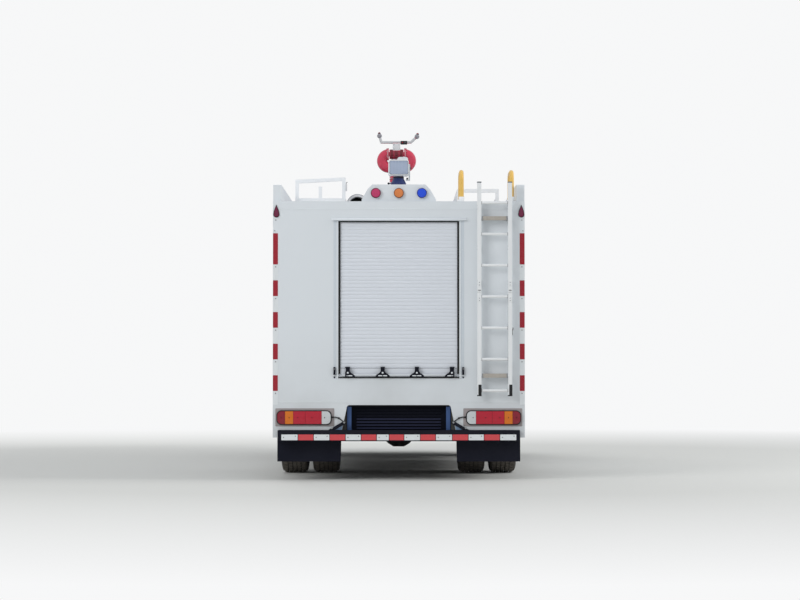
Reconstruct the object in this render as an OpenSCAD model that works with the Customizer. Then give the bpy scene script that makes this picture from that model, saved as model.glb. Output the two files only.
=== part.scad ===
// A cab-over fire truck with a crew cab, a box body with roller shutters, twin rear wheels,
// and a walk-on roof with a water monitor, a searchlight, racks and suction tubes.
// The truck faces +Y, +X is its right side, and +Z is up. The origin lies on the ground, in the middle.

/* [Overall] */
// Width over the body's side walls
body_w = 2500; // [2440:10:2550]
// Distance between the front and the rear axle
wheelbase = 4900; // [4800:50:5000]
// Rear overhang, from the rear axle to the rear wall's outer face
rear_overhang = 1850; // [1800:10:1900]
// Front overhang, from the front axle to the cab's front face
front_overhang = 1470; // [1450:10:1500]
// Gap between the cab and the body
body_gap = 150; // [120:10:200]

/* [Wheels] */
// Outer diameter of a tyre
tyre_d = 1060; // [1020:10:1080]
// Section width of a tyre
tyre_w = 290; // [270:5:300]
// Diameter of the rim where the tyre's beads sit
rim_d = 572; // [560:2:580]
// Distance between the front tyres' middles
front_track = 2000; // [1980:5:2020]
// Distance between the middles of the rear twin pairs
rear_track = 1860; // [1840:5:1880]
// Distance between the two tyres of a twin pair
twin_pitch = 330; // [320:5:340]
// Distance from a front tyre's middle inwards to its kingpin
kingpin_in = 130; // [120:5:150]
// Diameter of a wheel's spindle
spindle_d = 80; // [70:2:90]
// Diameter of a kingpin
kingpin_d = 44; // [36:2:50]
// Radial clearance of a pin in its bore
pin_gap = 0.05; // [0.03:0.01:0.09]

/* [Frame] */
// Width over the two frame rails
frame_w = 860; // [840:5:880]
// Height of the frame rails' top flange above the ground
frame_top = 1000; // [980:5:1020]
// Depth of a frame rail
rail_h = 260; // [240:5:280]
// Width of a rail's flanges
rail_flange = 80; // [70:5:90]
// Thickness of a rail's web and flanges
rail_t = 8; // [6:1:10]
// Width of a leaf spring
spring_w = 70; // [60:5:80]

/* [Body] */
// Thickness of the body's panels
wall_t = 40; // [30:5:50]
// Height of the lower edge of the apron and the skirts
skirt_z = 420; // [400:10:440]
// Height of the rear wall's top edge
wall_top = 2765; // [2740:5:2780]
// Height of the side parapets' top
parapet_top = 2930; // [2900:5:2950]
// Thickness of a side parapet
parapet_t = 80; // [70:5:90]
// Height of the walk-on deck
deck_z = 2670; // [2650:5:2690]
// Height of the lockers' low floors
locker_z = 470; // [460:5:500]
// Height of the main floor's top
floor_z = 1080; // [1075:5:1090]
// Height of the floor above the rear wheels
over_wheel_z = 1200; // [1190:5:1210]
// Distance from the middle to a low locker's inner wall
locker_in = 520; // [500:5:530]
// Radius of the rear wheel arch
arch_r = 620; // [600:5:640]
// Running gap around doors, flaps and other moving panels
panel_gap = 8; // [7:0.5:10]

/* [Shutters] */
// Pitch of the shutters' slats
slat_pitch = 36; // [34:1:40]
// Thickness of a shutter
shutter_t = 14; // [12:1:18]
// Depth at which a shutter sits behind the wall's face
shutter_in = 12; // [8:1:16]
// Width of the rear shutter's opening
rear_open_w = 1200; // [1160:10:1220]
// Height of the rear shutter's lower edge
rear_open_z = 1020; // [1000:5:1060]
// Height of the rear shutter's opening
rear_open_h = 1549; // [1500:1:1560]
// Height of the side shutters' top edge
side_open_top = 2500; // [2450:10:2520]
// Height of a side shutter's lower edge
side_open_z = 860; // [840:10:900]
// Height of a step flap
flap_h = 350; // [330:5:370]

/* [Cab] */
// Length of the crew cab
cab_l = 2820; // [2800:10:2850]
// Width of the cab
cab_w = 2490; // [2460:10:2500]
// Thickness of the cab's walls and doors
cab_t = 60; // [50:5:65]
// Height of the cab floor's top
cab_floor_z = 1190; // [1180:5:1200]
// Height of the cab's roof
cab_roof_z = 2950; // [2900:10:2960]
// Height of the cab doors' upper edge
door_top = 2700; // [2650:10:2720]
// Length of a cab door along the cab
door_l = 940; // [900:10:960]
// Height of the windows' lower edge
sill_z = 1800; // [1780:10:1850]
// Height of the windows' upper edge
window_top = 2600; // [2550:10:2620]
// Distance that the windscreen leans back at the roof
screen_rake = 120; // [100:10:140]
// Radius of the front wheel arch
front_arch_r = 640; // [630:5:650]

/* [Rear gear] */
// Width over the underrun bar
bar_w = 2392; // [2350:2:2440]
// Height of the underrun bar
bar_h = 111; // [100:1:120]
// Length of a tail lamp
tail_w = 546; // [500:2:560]
// Height of a tail lamp
tail_h = 144; // [130:2:150]
// Distance between the ladder's rails, middle to middle
ladder_w = 304; // [290:2:320]
// Distance from the truck's middle to the ladder's middle
ladder_x = 949; // [930:1:960]
// Width and depth of a ladder rail
ladder_rail = 41; // [36:1:45]
// Pitch of the ladder's rungs
rung_pitch = 310; // [300:1:312]

/* [Roof gear] */
// Distance from the rear wall's face forward to the searchlight's axis
search_y = 850; // [820:10:880]
// Distance from the rear wall's face forward to the monitor's axis
monitor_y = 1350; // [1320:10:1400]
// Outer diameter of the monitor's tubes
monitor_tube = 110; // [100:2:116]
// Length of the monitor's barrel ahead of its pivot
barrel_l = 650; // [600:10:700]
// Diameter of a roof handrail's tube
handrail_d = 46; // [40:1:48]
// Outer diameter of a suction tube
suction_d = 228; // [210:2:232]

/* [Hidden] */
$fn = 48;

// Gap that seats a curved or separate piece on its neighbour
seat = 0.3;
half_w = body_w / 2;
inner_w = half_w - wall_t;
ladder_standoff = 100;
bumper_out = 80;
overall_l = ladder_standoff + rear_overhang + wheelbase + front_overhang + bumper_out;
rear_y = ladder_standoff - overall_l / 2;
wall_in_y = rear_y + wall_t;
rear_axle_y = rear_y + rear_overhang;
front_axle_y = rear_axle_y + wheelbase;
cab_front_y = front_axle_y + front_overhang;
cab_rear_y = cab_front_y - cab_l;
body_front_y = cab_rear_y - body_gap;
wheel_z = tyre_d / 2;
tyre_r = tyre_d / 2;
rim_r = rim_d / 2;
half_frame = frame_w / 2;
rail_bottom = frame_top - rail_h;
front_x = front_track / 2;
rear_x = rear_track / 2;
kingpin_x = front_x - kingpin_in;

// A block between two corners
module block(x0, x1, y0, y1, z0, z1) {
    translate([x0, y0, z0]) cube([x1 - x0, y1 - y0, z1 - z0]);
}

// A side view in Y and Z, extruded across the truck
module across(x0, x1) {
    translate([x0, 0, 0]) rotate([90, 0, 90]) linear_extrude(x1 - x0) children();
}

// A rear view in X and Z, extruded along the truck
module along(y0, y1) {
    translate([0, y1, 0]) rotate([90, 0, 0]) linear_extrude(y1 - y0) children();
}

// A plan view in X and Y, extruded upwards
module upwards(z0, z1) {
    translate([0, 0, z0]) linear_extrude(z1 - z0) children();
}

module rod_x(r, x0, x1, y, z) {
    translate([x0, y, z]) rotate([0, 90, 0]) cylinder(r = r, h = x1 - x0);
}

module rod_y(r, y0, y1, x, z) {
    translate([x, y1, z]) rotate([90, 0, 0]) cylinder(r = r, h = y1 - y0);
}

module rod_z(r, z0, z1, x, y) {
    translate([x, y, z0]) cylinder(r = r, h = z1 - z0);
}

// Rectangle between two corners in a flat view
module area(a0, a1, b0, b1) {
    translate([a0, b0]) square([a1 - a0, b1 - b0]);
}

// Rectangle with true round corners
module soft_area(a0, a1, b0, b1, r) {
    area(a0 + r, a1 - r, b0, b1);
    area(a0, a1, b0 + r, b1 - r);
    for (a = [a0 + r, a1 - r], b = [b0 + r, b1 - r]) translate([a, b]) circle(r);
}

// The same piece on the left and on the right
module on_both_sides() {
    children();
    mirror([1, 0, 0]) children();
}

// Channel-section frame rails with their cross-members

rail_front_y = cab_front_y - 180;
rail_rear_y = rear_y + 150;
cross_half = 30;
cross_inset = 60;
cross_end = 40;
rear_bearer = 780;
front_bearer = 1250;
cross_ys = [rail_rear_y + cross_end, rear_axle_y - rear_bearer, rear_axle_y + rear_bearer,
            front_axle_y - front_bearer, rail_front_y - cross_end];

module rail_section() {
    difference() {
        area(half_frame - rail_flange, half_frame, rail_bottom, frame_top);
        area(half_frame - rail_flange - 1, half_frame - rail_t, rail_bottom + rail_t, frame_top - rail_t);
    }
}

module frame_rails() {
    color("dimgray") {
        on_both_sides() along(rail_rear_y, rail_front_y) rail_section();
        for (y = cross_ys)
            block(rail_t - half_frame, half_frame - rail_t, y - cross_half, y + cross_half,
                  rail_bottom + cross_inset, frame_top - cross_inset);
    }
}

// Leaf springs hang under the rails from hangers, and carry the axle pads

spring_x = half_frame - spring_w / 2 - 5;
spring_eye_z = rail_bottom - 90;
spring_half = 720;
leaf_t = 16;
leaves = 5;
leaf_step = 115;
axle_pad_z = wheel_z + 78;

module leaf_pack(y) {
    across(spring_x - spring_w / 2, spring_x + spring_w / 2) {
        for (i = [0 : leaves - 1]) {
            reach = spring_half - leaf_step * i;
            drop = (spring_eye_z - axle_pad_z - leaves * leaf_t + leaf_t) * reach / spring_half;
            top = axle_pad_z + (leaves - i) * leaf_t;
            polygon([[y - reach, top - leaf_t + drop], [y - 80, top - leaf_t], [y + 80, top - leaf_t],
                     [y + reach, top - leaf_t + drop], [y + reach, top + drop], [y + 80, top],
                     [y - 80, top], [y - reach, top + drop]]);
        }
        for (s = [-1, 1]) difference() {
            union() {
                translate([y + s * spring_half, spring_eye_z]) circle(34);
                area(y + s * spring_half - 30, y + s * spring_half + 30, spring_eye_z, rail_bottom);
            }
            translate([y + s * spring_half, spring_eye_z]) circle(14);
        }
        area(y - 75, y + 75, axle_pad_z, axle_pad_z + leaves * leaf_t + 22);
    }
}

module leaf_springs() {
    color("dimgray") on_both_sides() {
        leaf_pack(front_axle_y);
        leaf_pack(rear_axle_y);
    }
}

// Front axle: a dropped forged beam with a boss for each kingpin

beam_z = wheel_z - 100;
boss_r = kingpin_d / 2 + 26;
boss_h = 58;

module beam_outline() {
    polygon([[boss_r + 40 - kingpin_x, wheel_z - boss_h + 6], [boss_r + 170 - kingpin_x, beam_z - 60],
             [kingpin_x - boss_r - 170, beam_z - 60], [kingpin_x - boss_r - 40, wheel_z - boss_h + 6],
             [kingpin_x - 10, wheel_z - boss_h + 6], [kingpin_x - 10, wheel_z + boss_h - 6],
             [kingpin_x - boss_r - 60, wheel_z + boss_h - 6], [kingpin_x - boss_r - 190, beam_z + 60],
             [boss_r + 190 - kingpin_x, beam_z + 60], [boss_r + 60 - kingpin_x, wheel_z + boss_h - 6],
             [10 - kingpin_x, wheel_z + boss_h - 6], [10 - kingpin_x, wheel_z - boss_h + 6]]);
}

module front_axle() {
    color("dimgray") difference() {
        union() {
            along(front_axle_y - 45, front_axle_y + 45) beam_outline();
            on_both_sides() {
                rod_z(boss_r, wheel_z - boss_h, wheel_z + boss_h, kingpin_x, front_axle_y);
                block(spring_x - 50, spring_x + 50, front_axle_y - 70, front_axle_y + 70,
                      beam_z + 50, axle_pad_z);
            }
        }
        for (y = [front_axle_y - 46, front_axle_y + 18])
            block(60 - spring_x, spring_x - 60, y, y + 28, beam_z - 36, beam_z + 36);
        on_both_sides()
            rod_z(kingpin_d / 2 + pin_gap, wheel_z - boss_h - 1, wheel_z + boss_h + 1,
                  kingpin_x, front_axle_y);
    }
}

// Knuckle: two ears on the kingpin, joined by a cheek that carries the wheel's spindle

ear_in = boss_h + 3;
ear_out = ear_in + 38;
cheek_in = boss_r + 10;
cheek_out = cheek_in + 34;
spindle_r = spindle_d / 2;
front_hub_in = -30;
front_hub_out = 110;

module knuckle() {
    color("slategray") {
        for (s = [-1, 1]) {
            z0 = wheel_z + min(s * ear_in, s * ear_out);
            rod_z(boss_r + 6, z0, z0 + ear_out - ear_in, kingpin_x, front_axle_y);
            block(kingpin_x, kingpin_x + cheek_out, front_axle_y - boss_r, front_axle_y + boss_r,
                  z0, z0 + ear_out - ear_in);
        }
        block(kingpin_x + cheek_in, kingpin_x + cheek_out, front_axle_y - boss_r, front_axle_y + boss_r,
              wheel_z - ear_out, wheel_z + ear_out);
        rod_z(kingpin_d / 2, wheel_z - ear_in, wheel_z + ear_in, kingpin_x, front_axle_y);
        rod_x(spindle_r, kingpin_x + cheek_in, front_x + front_hub_out - 12, front_axle_y, wheel_z);
        block(kingpin_x - 34, kingpin_x + 20, front_axle_y - 230, front_axle_y,
              wheel_z - ear_out, wheel_z - ear_out + 26);
    }
}

module knuckle_right() { knuckle(); }
module knuckle_left() { mirror([1, 0, 0]) knuckle(); }

// Rear axle: a banjo casing with its differential, axle tubes and a spindle at each end

rear_hub_in = rear_x - 110;
rear_hub_out = rear_x + 200;
casing_r = 70;
banjo_r = 258;
banjo_half = 165;

module rear_axle() {
    color("dimgray") {
        rod_x(casing_r, 60 - rear_hub_in, rear_hub_in - 60, rear_axle_y, wheel_z);
        rod_x(spindle_r, 14 - rear_hub_out, rear_hub_out - 14, rear_axle_y, wheel_z);
        translate([0, rear_axle_y, wheel_z]) rotate([0, 90, 0]) rotate_extrude() polygon([
            [0, -banjo_half], [banjo_r - 90, -banjo_half], [banjo_r - 35, -banjo_half * 0.7],
            [banjo_r, -banjo_half * 0.35], [banjo_r, banjo_half * 0.35], [banjo_r - 35, banjo_half * 0.7],
            [banjo_r - 90, banjo_half], [0, banjo_half]]);
        rod_y(90, rear_axle_y + banjo_r - 58, rear_axle_y + pinion_l, 0, wheel_z);
        on_both_sides() {
            block(spring_x - 50, spring_x + 50, rear_axle_y - 70, rear_axle_y + 70, wheel_z, axle_pad_z);
            rod_x(150, rear_hub_in - 90, rear_hub_in - 60, rear_axle_y, wheel_z);
        }
    }
}

// Engine as one plain block with its feet on the rails, then gearbox and propeller shaft

engine_y = front_axle_y + 1050;
engine_l = 1200;
engine_half = half_frame - rail_flange - 10;
engine_low = rail_bottom - 100;
engine_top = cab_floor_z + 200;
foot_low = rail_bottom + 100;
foot_top = frame_top - 100;
gearbox_l = 800;
gearbox_half = 180;
gearbox_y = engine_y - engine_l;
shaft_r = 48;
pinion_l = 370;

module powertrain() {
    color("slategray") {
        block(-engine_half, engine_half, gearbox_y, engine_y, engine_low, engine_top);
        on_both_sides() for (y = [gearbox_y + 200, engine_y - 200])
            block(engine_half - 10, half_frame - rail_t, y - 40, y + 40, foot_low, foot_top);
        block(-gearbox_half, gearbox_half, gearbox_y - gearbox_l, gearbox_y, wheel_z - 50, foot_top);
        rod_y(shaft_r, rear_axle_y + pinion_l, gearbox_y - gearbox_l, 0, wheel_z);
    }
}

// Tyres, as revolves about the wheel's axis

bead_w = tyre_w * 0.37;

module tyre_section() {
    polygon([[rim_r + seat, -bead_w], [rim_r + 44, -tyre_w * 0.45], [rim_r + 115, -tyre_w / 2],
             [tyre_r - 60, -tyre_w * 0.485], [tyre_r - 16, -tyre_w * 0.45], [tyre_r, -tyre_w * 0.385],
             [tyre_r, tyre_w * 0.385], [tyre_r - 16, tyre_w * 0.45], [tyre_r - 60, tyre_w * 0.485],
             [rim_r + 115, tyre_w / 2], [rim_r + 44, tyre_w * 0.45], [rim_r + seat, bead_w]]);
}

module tyre(x, y) {
    color([0.09, 0.09, 0.1]) translate([x, y, wheel_z]) rotate([0, 90, 0])
        rotate_extrude() tyre_section();
}

module tyre_front_right() { tyre(front_x, front_axle_y); }
module tyre_front_left() { tyre(-front_x, front_axle_y); }
module tyres_rear_right() { for (s = [-1, 1]) tyre(rear_x + s * twin_pitch / 2, rear_axle_y); }
module tyres_rear_left() { mirror([1, 0, 0]) tyres_rear_right(); }

// Rims: a well between two flanges, a dished disc with hand holes, and the hub on the spindle

rim_t = 14;
hub_r = 95;
bolt_ring_out = 23;
dish_r = 205;
hole_ring_r = 238;
flange_out = bead_w + 14;
flange_t = 4;
flange_r = rim_r + 16;
hand_hole_r = 26;
hand_holes = 10;

// Rim well, with its flanges just outside the tyre's beads
module rim_well() {
    polygon([[rim_r - rim_t, -flange_out], [flange_r, -flange_out], [flange_r, flange_t - flange_out],
             [rim_r + 2, -bead_w - seat - 1], [rim_r, -bead_w], [rim_r, bead_w],
             [rim_r + 2, bead_w + seat + 1], [flange_r, flange_out - flange_t], [flange_r, flange_out],
             [rim_r - rim_t, flange_out]]);
}

// Disc from the well's foot to the hub's flange, at the given places along the axis
module disc_section(well_x, hub_x) {
    polygon([[hub_r - 5, hub_x], [dish_r, hub_x], [rim_r - rim_t + 2, well_x],
             [rim_r - rim_t + 2, well_x + rim_t + 2], [dish_r + 7, hub_x + rim_t],
             [hub_r - 5, hub_x + rim_t]]);
}

module hub_section(x0, x1) {
    polygon([[spindle_r + pin_gap, x0], [hub_r, x0], [hub_r, x1 - 60], [hub_r + bolt_ring_out, x1 - 60],
             [hub_r + bolt_ring_out, x1 - 18], [hub_r + 9, x1], [spindle_r + pin_gap, x1]]);
}

module hand_hole_ring(x0, x1) {
    for (i = [0 : hand_holes - 1]) rotate([0, 0, i * 360 / hand_holes])
        translate([hole_ring_r, 0, x0]) cylinder(r = hand_hole_r, h = x1 - x0);
}

module rim_front() {
    color("silver") translate([front_x, front_axle_y, wheel_z]) rotate([0, 90, 0]) difference() {
        rotate_extrude() {
            rim_well();
            disc_section(20, 62);
            hub_section(front_hub_in, front_hub_out);
        }
        hand_hole_ring(0, 100);
    }
}

module rims_rear() {
    color("silver") translate([rear_x, rear_axle_y, wheel_z]) rotate([0, 90, 0]) difference() {
        rotate_extrude() {
            for (s = [-1, 1]) translate([0, s * twin_pitch / 2]) rim_well();
            disc_section(twin_pitch / 2 - flange_out + 4, 0);
            mirror([0, 1]) disc_section(twin_pitch / 2 - flange_out + 4, 0);
            hub_section(rear_hub_in - rear_x + 60, rear_hub_out - rear_x);
        }
        hand_hole_ring(-100, 100);
    }
}

module rim_front_right() { rim_front(); }
module rim_front_left() { mirror([1, 0, 0]) rim_front(); }
module rims_rear_right() { rims_rear(); }
module rims_rear_left() { mirror([1, 0, 0]) rims_rear(); }

// Cab: one outer form, whose shell is split where the real panels meet

half_cab = cab_w / 2;
cab_low_z = cab_floor_z - 80;
door_low = cab_floor_z;
front_corner_r = 180;
roof_corner_r = 90;
screen_rim = 60;
screen_r = 60;
brow_l = 160;
door_front_y1 = cab_front_y - 160;
door_front_y0 = door_front_y1 - door_l;
door_crew_y0 = cab_rear_y + 100;
door_crew_y1 = door_crew_y0 + door_l;

module cab_form(inset) {
    intersection() {
        upwards(cab_low_z - 1, cab_roof_z) {
            w = half_cab - inset;
            area(-w, w, cab_rear_y + inset, cab_front_y - front_corner_r);
            area(front_corner_r - half_cab, half_cab - front_corner_r,
                 cab_rear_y + inset, cab_front_y - inset);
            for (s = [-1, 1])
                translate([s * (half_cab - front_corner_r), cab_front_y - front_corner_r])
                    circle(front_corner_r - inset);
        }
        across(-half_cab, half_cab) polygon([
            [cab_rear_y + inset, cab_low_z - 1], [cab_front_y - inset, cab_low_z - 1],
            [cab_front_y - inset, sill_z - screen_rim],
            [cab_front_y - inset - screen_rake, window_top + screen_rim],
            [cab_front_y - inset - screen_rake - brow_l, cab_roof_z - inset],
            [cab_rear_y + inset, cab_roof_z - inset]]);
        along(cab_rear_y, cab_front_y) {
            w = half_cab - inset;
            area(-w, w, cab_low_z - 1, cab_roof_z - roof_corner_r);
            area(roof_corner_r - half_cab, half_cab - roof_corner_r, cab_low_z - 1, cab_roof_z - inset);
            for (s = [-1, 1])
                translate([s * (half_cab - roof_corner_r), cab_roof_z - roof_corner_r])
                    circle(roof_corner_r - inset);
        }
    }
}

module cab_shell() {
    difference() {
        cab_form(0);
        cab_form(cab_t);
    }
}

// Window outlines of the side, seen along X, as named rows of rear edge and front edge
window_front = [door_front_y0 + 90, door_front_y1 - 80];
window_crew = [door_crew_y0 + 80, door_crew_y1 - 90];
window_mid = [door_crew_y1 + 110, door_front_y0 - 110];
window_r = 45;

module side_window(row, inset) {
    soft_area(row[0] + inset, row[1] - inset, sill_z + inset, window_top - inset, window_r);
}

module door_area(y0, y1, gap) {
    area(y0 + gap, y1 - gap, door_low + gap, door_top - gap);
}

screen_half = half_cab - 150;
screen_cut_y = cab_front_y - 400;

module screen_area() {
    soft_area(-screen_half, screen_half, sill_z, window_top, screen_r);
}

// Door hinges: a barrel with its pin on the cab and a bored barrel on the door, on the skin's line
hinge_r = 12;
hinge_pin_r = 5;
hinge_h = 40;
hinge_slack = 2;
hinge_zs = [door_low + 240, door_top - 320];
hinge_front_y = door_front_y1 - panel_gap / 2;
hinge_crew_y = door_crew_y1 - panel_gap / 2;

module cab_hinges(y) {
    on_both_sides() for (z = hinge_zs) {
        rod_z(hinge_r, z, z + hinge_h, half_cab, y);
        rod_z(hinge_pin_r, z, z + 2 * hinge_h, half_cab, y);
    }
}

module cab_hinge_notches(y) {
    on_both_sides() for (z = hinge_zs)
        rod_z(hinge_r + hinge_slack, z + hinge_h, z + 2 * hinge_h + 2 * hinge_slack, half_cab, y);
}

module door_hinges(y) {
    for (z = hinge_zs) difference() {
        rod_z(hinge_r, z + hinge_h + hinge_slack, z + 2 * hinge_h, half_cab, y);
        rod_z(hinge_pin_r + pin_gap, z, z + 3 * hinge_h, half_cab, y);
    }
}

module door_hinge_notches(y) {
    for (z = hinge_zs) {
        rod_z(hinge_r + hinge_slack, z - hinge_slack, z + hinge_h + hinge_slack, half_cab, y);
        rod_z(hinge_pin_r + pin_gap, z, z + 2 * hinge_h + hinge_slack, half_cab, y);
    }
}

module cab_ends() {
    color("white") cab_hinges(hinge_front_y);
    color("white") difference() {
        intersection() {
            cab_shell();
            union() {
                block(-half_cab, half_cab, cab_rear_y, cab_rear_y + cab_t, cab_low_z, door_top);
                block(-half_cab, half_cab, door_front_y1, cab_front_y, cab_low_z, door_top);
            }
        }
        along(screen_cut_y, cab_front_y + 1) screen_area();
        cab_hinge_notches(hinge_front_y);
    }
}

module cab_sides() {
    color("white") cab_hinges(hinge_crew_y);
    color("white") difference() {
        intersection() {
            cab_shell();
            on_both_sides() across(half_cab - cab_t, half_cab) difference() {
                area(cab_rear_y + cab_t, door_front_y1, cab_low_z, door_top);
                door_area(door_front_y0, door_front_y1 + 1, 0);
                door_area(door_crew_y0, door_crew_y1, 0);
                side_window(window_mid, 0);
                translate([front_axle_y, wheel_z]) circle(front_arch_r);
            }
        }
        cab_hinge_notches(hinge_crew_y);
    }
}

module cab_roof() {
    color("white") intersection() {
        cab_shell();
        block(-half_cab, half_cab, cab_rear_y, cab_front_y, door_top, cab_roof_z);
    }
}

// Floor with a raised engine tunnel and four feet on the frame rails
tunnel_half = engine_half + 60;
tunnel_top = cab_floor_z + 260;
tunnel_t = 25;
cab_floor_low = cab_floor_z - 40;

module cab_floor() {
    color("gray") {
        difference() {
            union() {
                intersection() {
                    cab_form(cab_t + seat);
                    block(-half_cab, half_cab, cab_rear_y, cab_front_y, cab_floor_low, cab_floor_z);
                }
                block(-tunnel_half, tunnel_half, gearbox_y - 100, engine_y + 100, cab_floor_low, tunnel_top);
            }
            block(tunnel_t - tunnel_half, tunnel_half - tunnel_t, gearbox_y - 100 + tunnel_t,
                  engine_y + 100 - tunnel_t, cab_floor_low - 1, tunnel_top - tunnel_t);
        }
        on_both_sides() for (y = [cab_rear_y + 200, gearbox_y - 180, engine_y + 90])
            block(half_frame - rail_flange, half_frame, y - 45, y + 45, frame_top, cab_floor_low);
    }
}

glass_t = 8;
glass_in = 22;

module cab_glass() {
    color([0.2, 0.3, 0.35, 0.5]) {
        intersection() {
            difference() {
                cab_form(glass_in);
                cab_form(glass_in + glass_t);
            }
            along(screen_cut_y, cab_front_y) screen_area();
        }
        on_both_sides() across(half_cab - glass_in - glass_t, half_cab - glass_in) side_window(window_mid, 0);
    }
}

// Doors: slabs as thick as the cab's wall, cut for their windows, with a pull handle in a recess
handle_y0 = 70;
handle_y1 = 230;
handle_z = sill_z - 210;
handle_half = 40;
handle_in = 14;

module door(y0, y1, window) {
    color("white") difference() {
        across(half_cab - cab_t, half_cab) difference() {
            door_area(y0, y1, panel_gap);
            side_window(window, 0);
        }
        block(half_cab - handle_in, half_cab + 1, y0 + handle_y0, y0 + handle_y1,
              handle_z - handle_half, handle_z + handle_half);
        door_hinge_notches(y1 - panel_gap / 2);
    }
    color("white") door_hinges(y1 - panel_gap / 2);
    color("black") rod_y(9, y0 + handle_y0, y0 + handle_y1, half_cab - 10, handle_z);
}

module door_glass(window) {
    color([0.2, 0.3, 0.35, 0.5]) across(half_cab - glass_in - glass_t, half_cab - glass_in)
        side_window(window, 0);
}

module door_front_right() { door(door_front_y0, door_front_y1, window_front); }
module door_front_left() { mirror([1, 0, 0]) door_front_right(); }
module door_crew_right() { door(door_crew_y0, door_crew_y1, window_crew); }
module door_crew_left() { mirror([1, 0, 0]) door_crew_right(); }
module glass_front_right() { door_glass(window_front); }
module glass_front_left() { mirror([1, 0, 0]) glass_front_right(); }
module glass_crew_right() { door_glass(window_crew); }
module glass_crew_left() { mirror([1, 0, 0]) glass_crew_right(); }

// Seats: two in front beside the tunnel, and a bench row of four behind, each with its base
seat_w = 480;
seat_pitch = 545;
front_seat_x = 820;
seat_rows = [for (s = [-1, 1]) [s * front_seat_x, door_front_y0 + 28],
             for (i = [-1.5 : 1.5]) [i * seat_pitch, cab_rear_y + 110]];
cushion_l = 520;
cushion_z0 = 290;
cushion_z1 = 440;
back_top = 1060;
head_top = 1240;

module cab_seat() {
    across(-seat_w / 2, seat_w / 2) {
        area(60, cushion_l - 100, 0, cushion_z0 + 10);
        soft_area(20, cushion_l, cushion_z0, cushion_z1, 40);
        soft_area(0, 130, cushion_z1 - 60, back_top, 50);
    }
    across(-seat_w / 4, seat_w / 4) soft_area(10, 110, back_top - 30, head_top, 40);
}

module cab_seats() {
    color([0.15, 0.16, 0.2]) for (row = seat_rows) translate([row[0], row[1], cab_floor_z]) cab_seat();
}

// Dashboard with its instrument hood, and the steering wheel on its column, on the left
wheel_x = -front_seat_x;
dash_y0 = door_front_y1 - 180;
steer_r = 205;
steer_lean = 55;
column_l = 260;

module dashboard() {
    color([0.12, 0.13, 0.15]) {
        intersection() {
            cab_form(cab_t + seat);
            across(cab_t + 40 - half_cab, half_cab - cab_t - 40) polygon([
                [dash_y0 + 80, tunnel_top + 60], [dash_y0, sill_z - 160], [dash_y0 + 40, sill_z - 60],
                [door_front_y1 + 40, sill_z - 20], [cab_front_y, sill_z - 90],
                [cab_front_y, tunnel_top + 60]]);
        }
        translate([wheel_x, dash_y0 - 60, sill_z - 60]) rotate([steer_lean, 0, 0]) {
            rotate_extrude() translate([steer_r, 0]) circle(16);
            for (a = [-30, 90, 210]) rotate([0, 0, a]) translate([0, -14, -8]) cube([steer_r, 28, 14]);
            cylinder(r = 60, h = 30, center = true);
            translate([0, 0, -column_l]) cylinder(r = 28, h = column_l - 10);
        }
    }
}

// Steps below the doors: a stair profile on each corner box, joined to the cab's lower edge
step_low = 450;
step_out = half_cab - 20;
step_in = step_out - 340;
tread_t = 60;
tread_in = 110;
upper_tread = step_low + 330;
upper_tread_t = 50;
step_rows = [[cab_rear_y + cab_t + 10, front_axle_y - front_arch_r - 20],
             [front_axle_y + front_arch_r + 20, cab_front_y - 130]];

// Inner edge and thickness of the wheel arch's liner
liner_in = step_in - 20;
liner_t = 12;

module step_profile() {
    polygon([[step_in, step_low], [step_out, step_low], [step_out, step_low + tread_t],
             [step_out - tread_in, step_low + tread_t], [step_out - tread_in, upper_tread],
             [step_out - 20, upper_tread], [step_out - 20, upper_tread + upper_tread_t],
             [step_out - tread_in - 20, upper_tread + upper_tread_t],
             [step_out - tread_in - 20, cab_floor_low], [step_in, cab_floor_low]]);
}

module cab_steps() {
    color([0.13, 0.13, 0.14]) on_both_sides() {
        for (row = step_rows) along(row[0], row[1]) step_profile();
        intersection() {
            across(liner_in, half_cab - cab_t - seat) difference() {
                translate([front_axle_y, wheel_z]) circle(front_arch_r);
                translate([front_axle_y, wheel_z]) circle(front_arch_r - liner_t);
            }
            block(0, half_cab, front_axle_y - front_arch_r, front_axle_y + front_arch_r,
                  wheel_z + 100, cab_floor_low);
        }
    }
}

// Fuel tank on the left and battery box on the right, on straps from the rails
tank_in = half_frame + 70;
tank_out = step_in - 20;
tank_y0 = step_rows[0][0];
tank_y1 = step_rows[0][1];
tank_top = frame_top - 40;
tank_low = rail_bottom - 200;
battery_low = rail_bottom - 140;
strap_z0 = rail_bottom + 20;
strap_z1 = rail_bottom + 80;
strap_w = 60;
strap_ys = [tank_y0 + 120, tank_y1 - 180];

module chassis_tanks() {
    color("silver") {
        mirror([1, 0, 0]) along(tank_y0, tank_y1) soft_area(tank_in, tank_out, tank_low, tank_top, 80);
        along(tank_y0, tank_y1) soft_area(tank_in, tank_out, battery_low, tank_top, 12);
        on_both_sides() for (y = strap_ys) {
            block(half_frame, tank_in + 60, y, y + strap_w, strap_z0, strap_z1);
            block(tank_out - 40, step_in, y, y + strap_w, strap_z0, strap_z1);
        }
    }
}

// Bumper with rounded corners, and the pockets where the headlamps sit
bumper_y1 = overall_l / 2;
bumper_low = 400;
bumper_top = 850;
lamp_x0 = 790;
lamp_x1 = 1120;
lamp_z0 = 520;
lamp_z1 = 720;
lamp_r = 40;
lamp_in = 70;
bumper_r = 150;
bumper_l = 200;
plate_half = 420;
plate_z0 = 500;
plate_z1 = 640;

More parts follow.
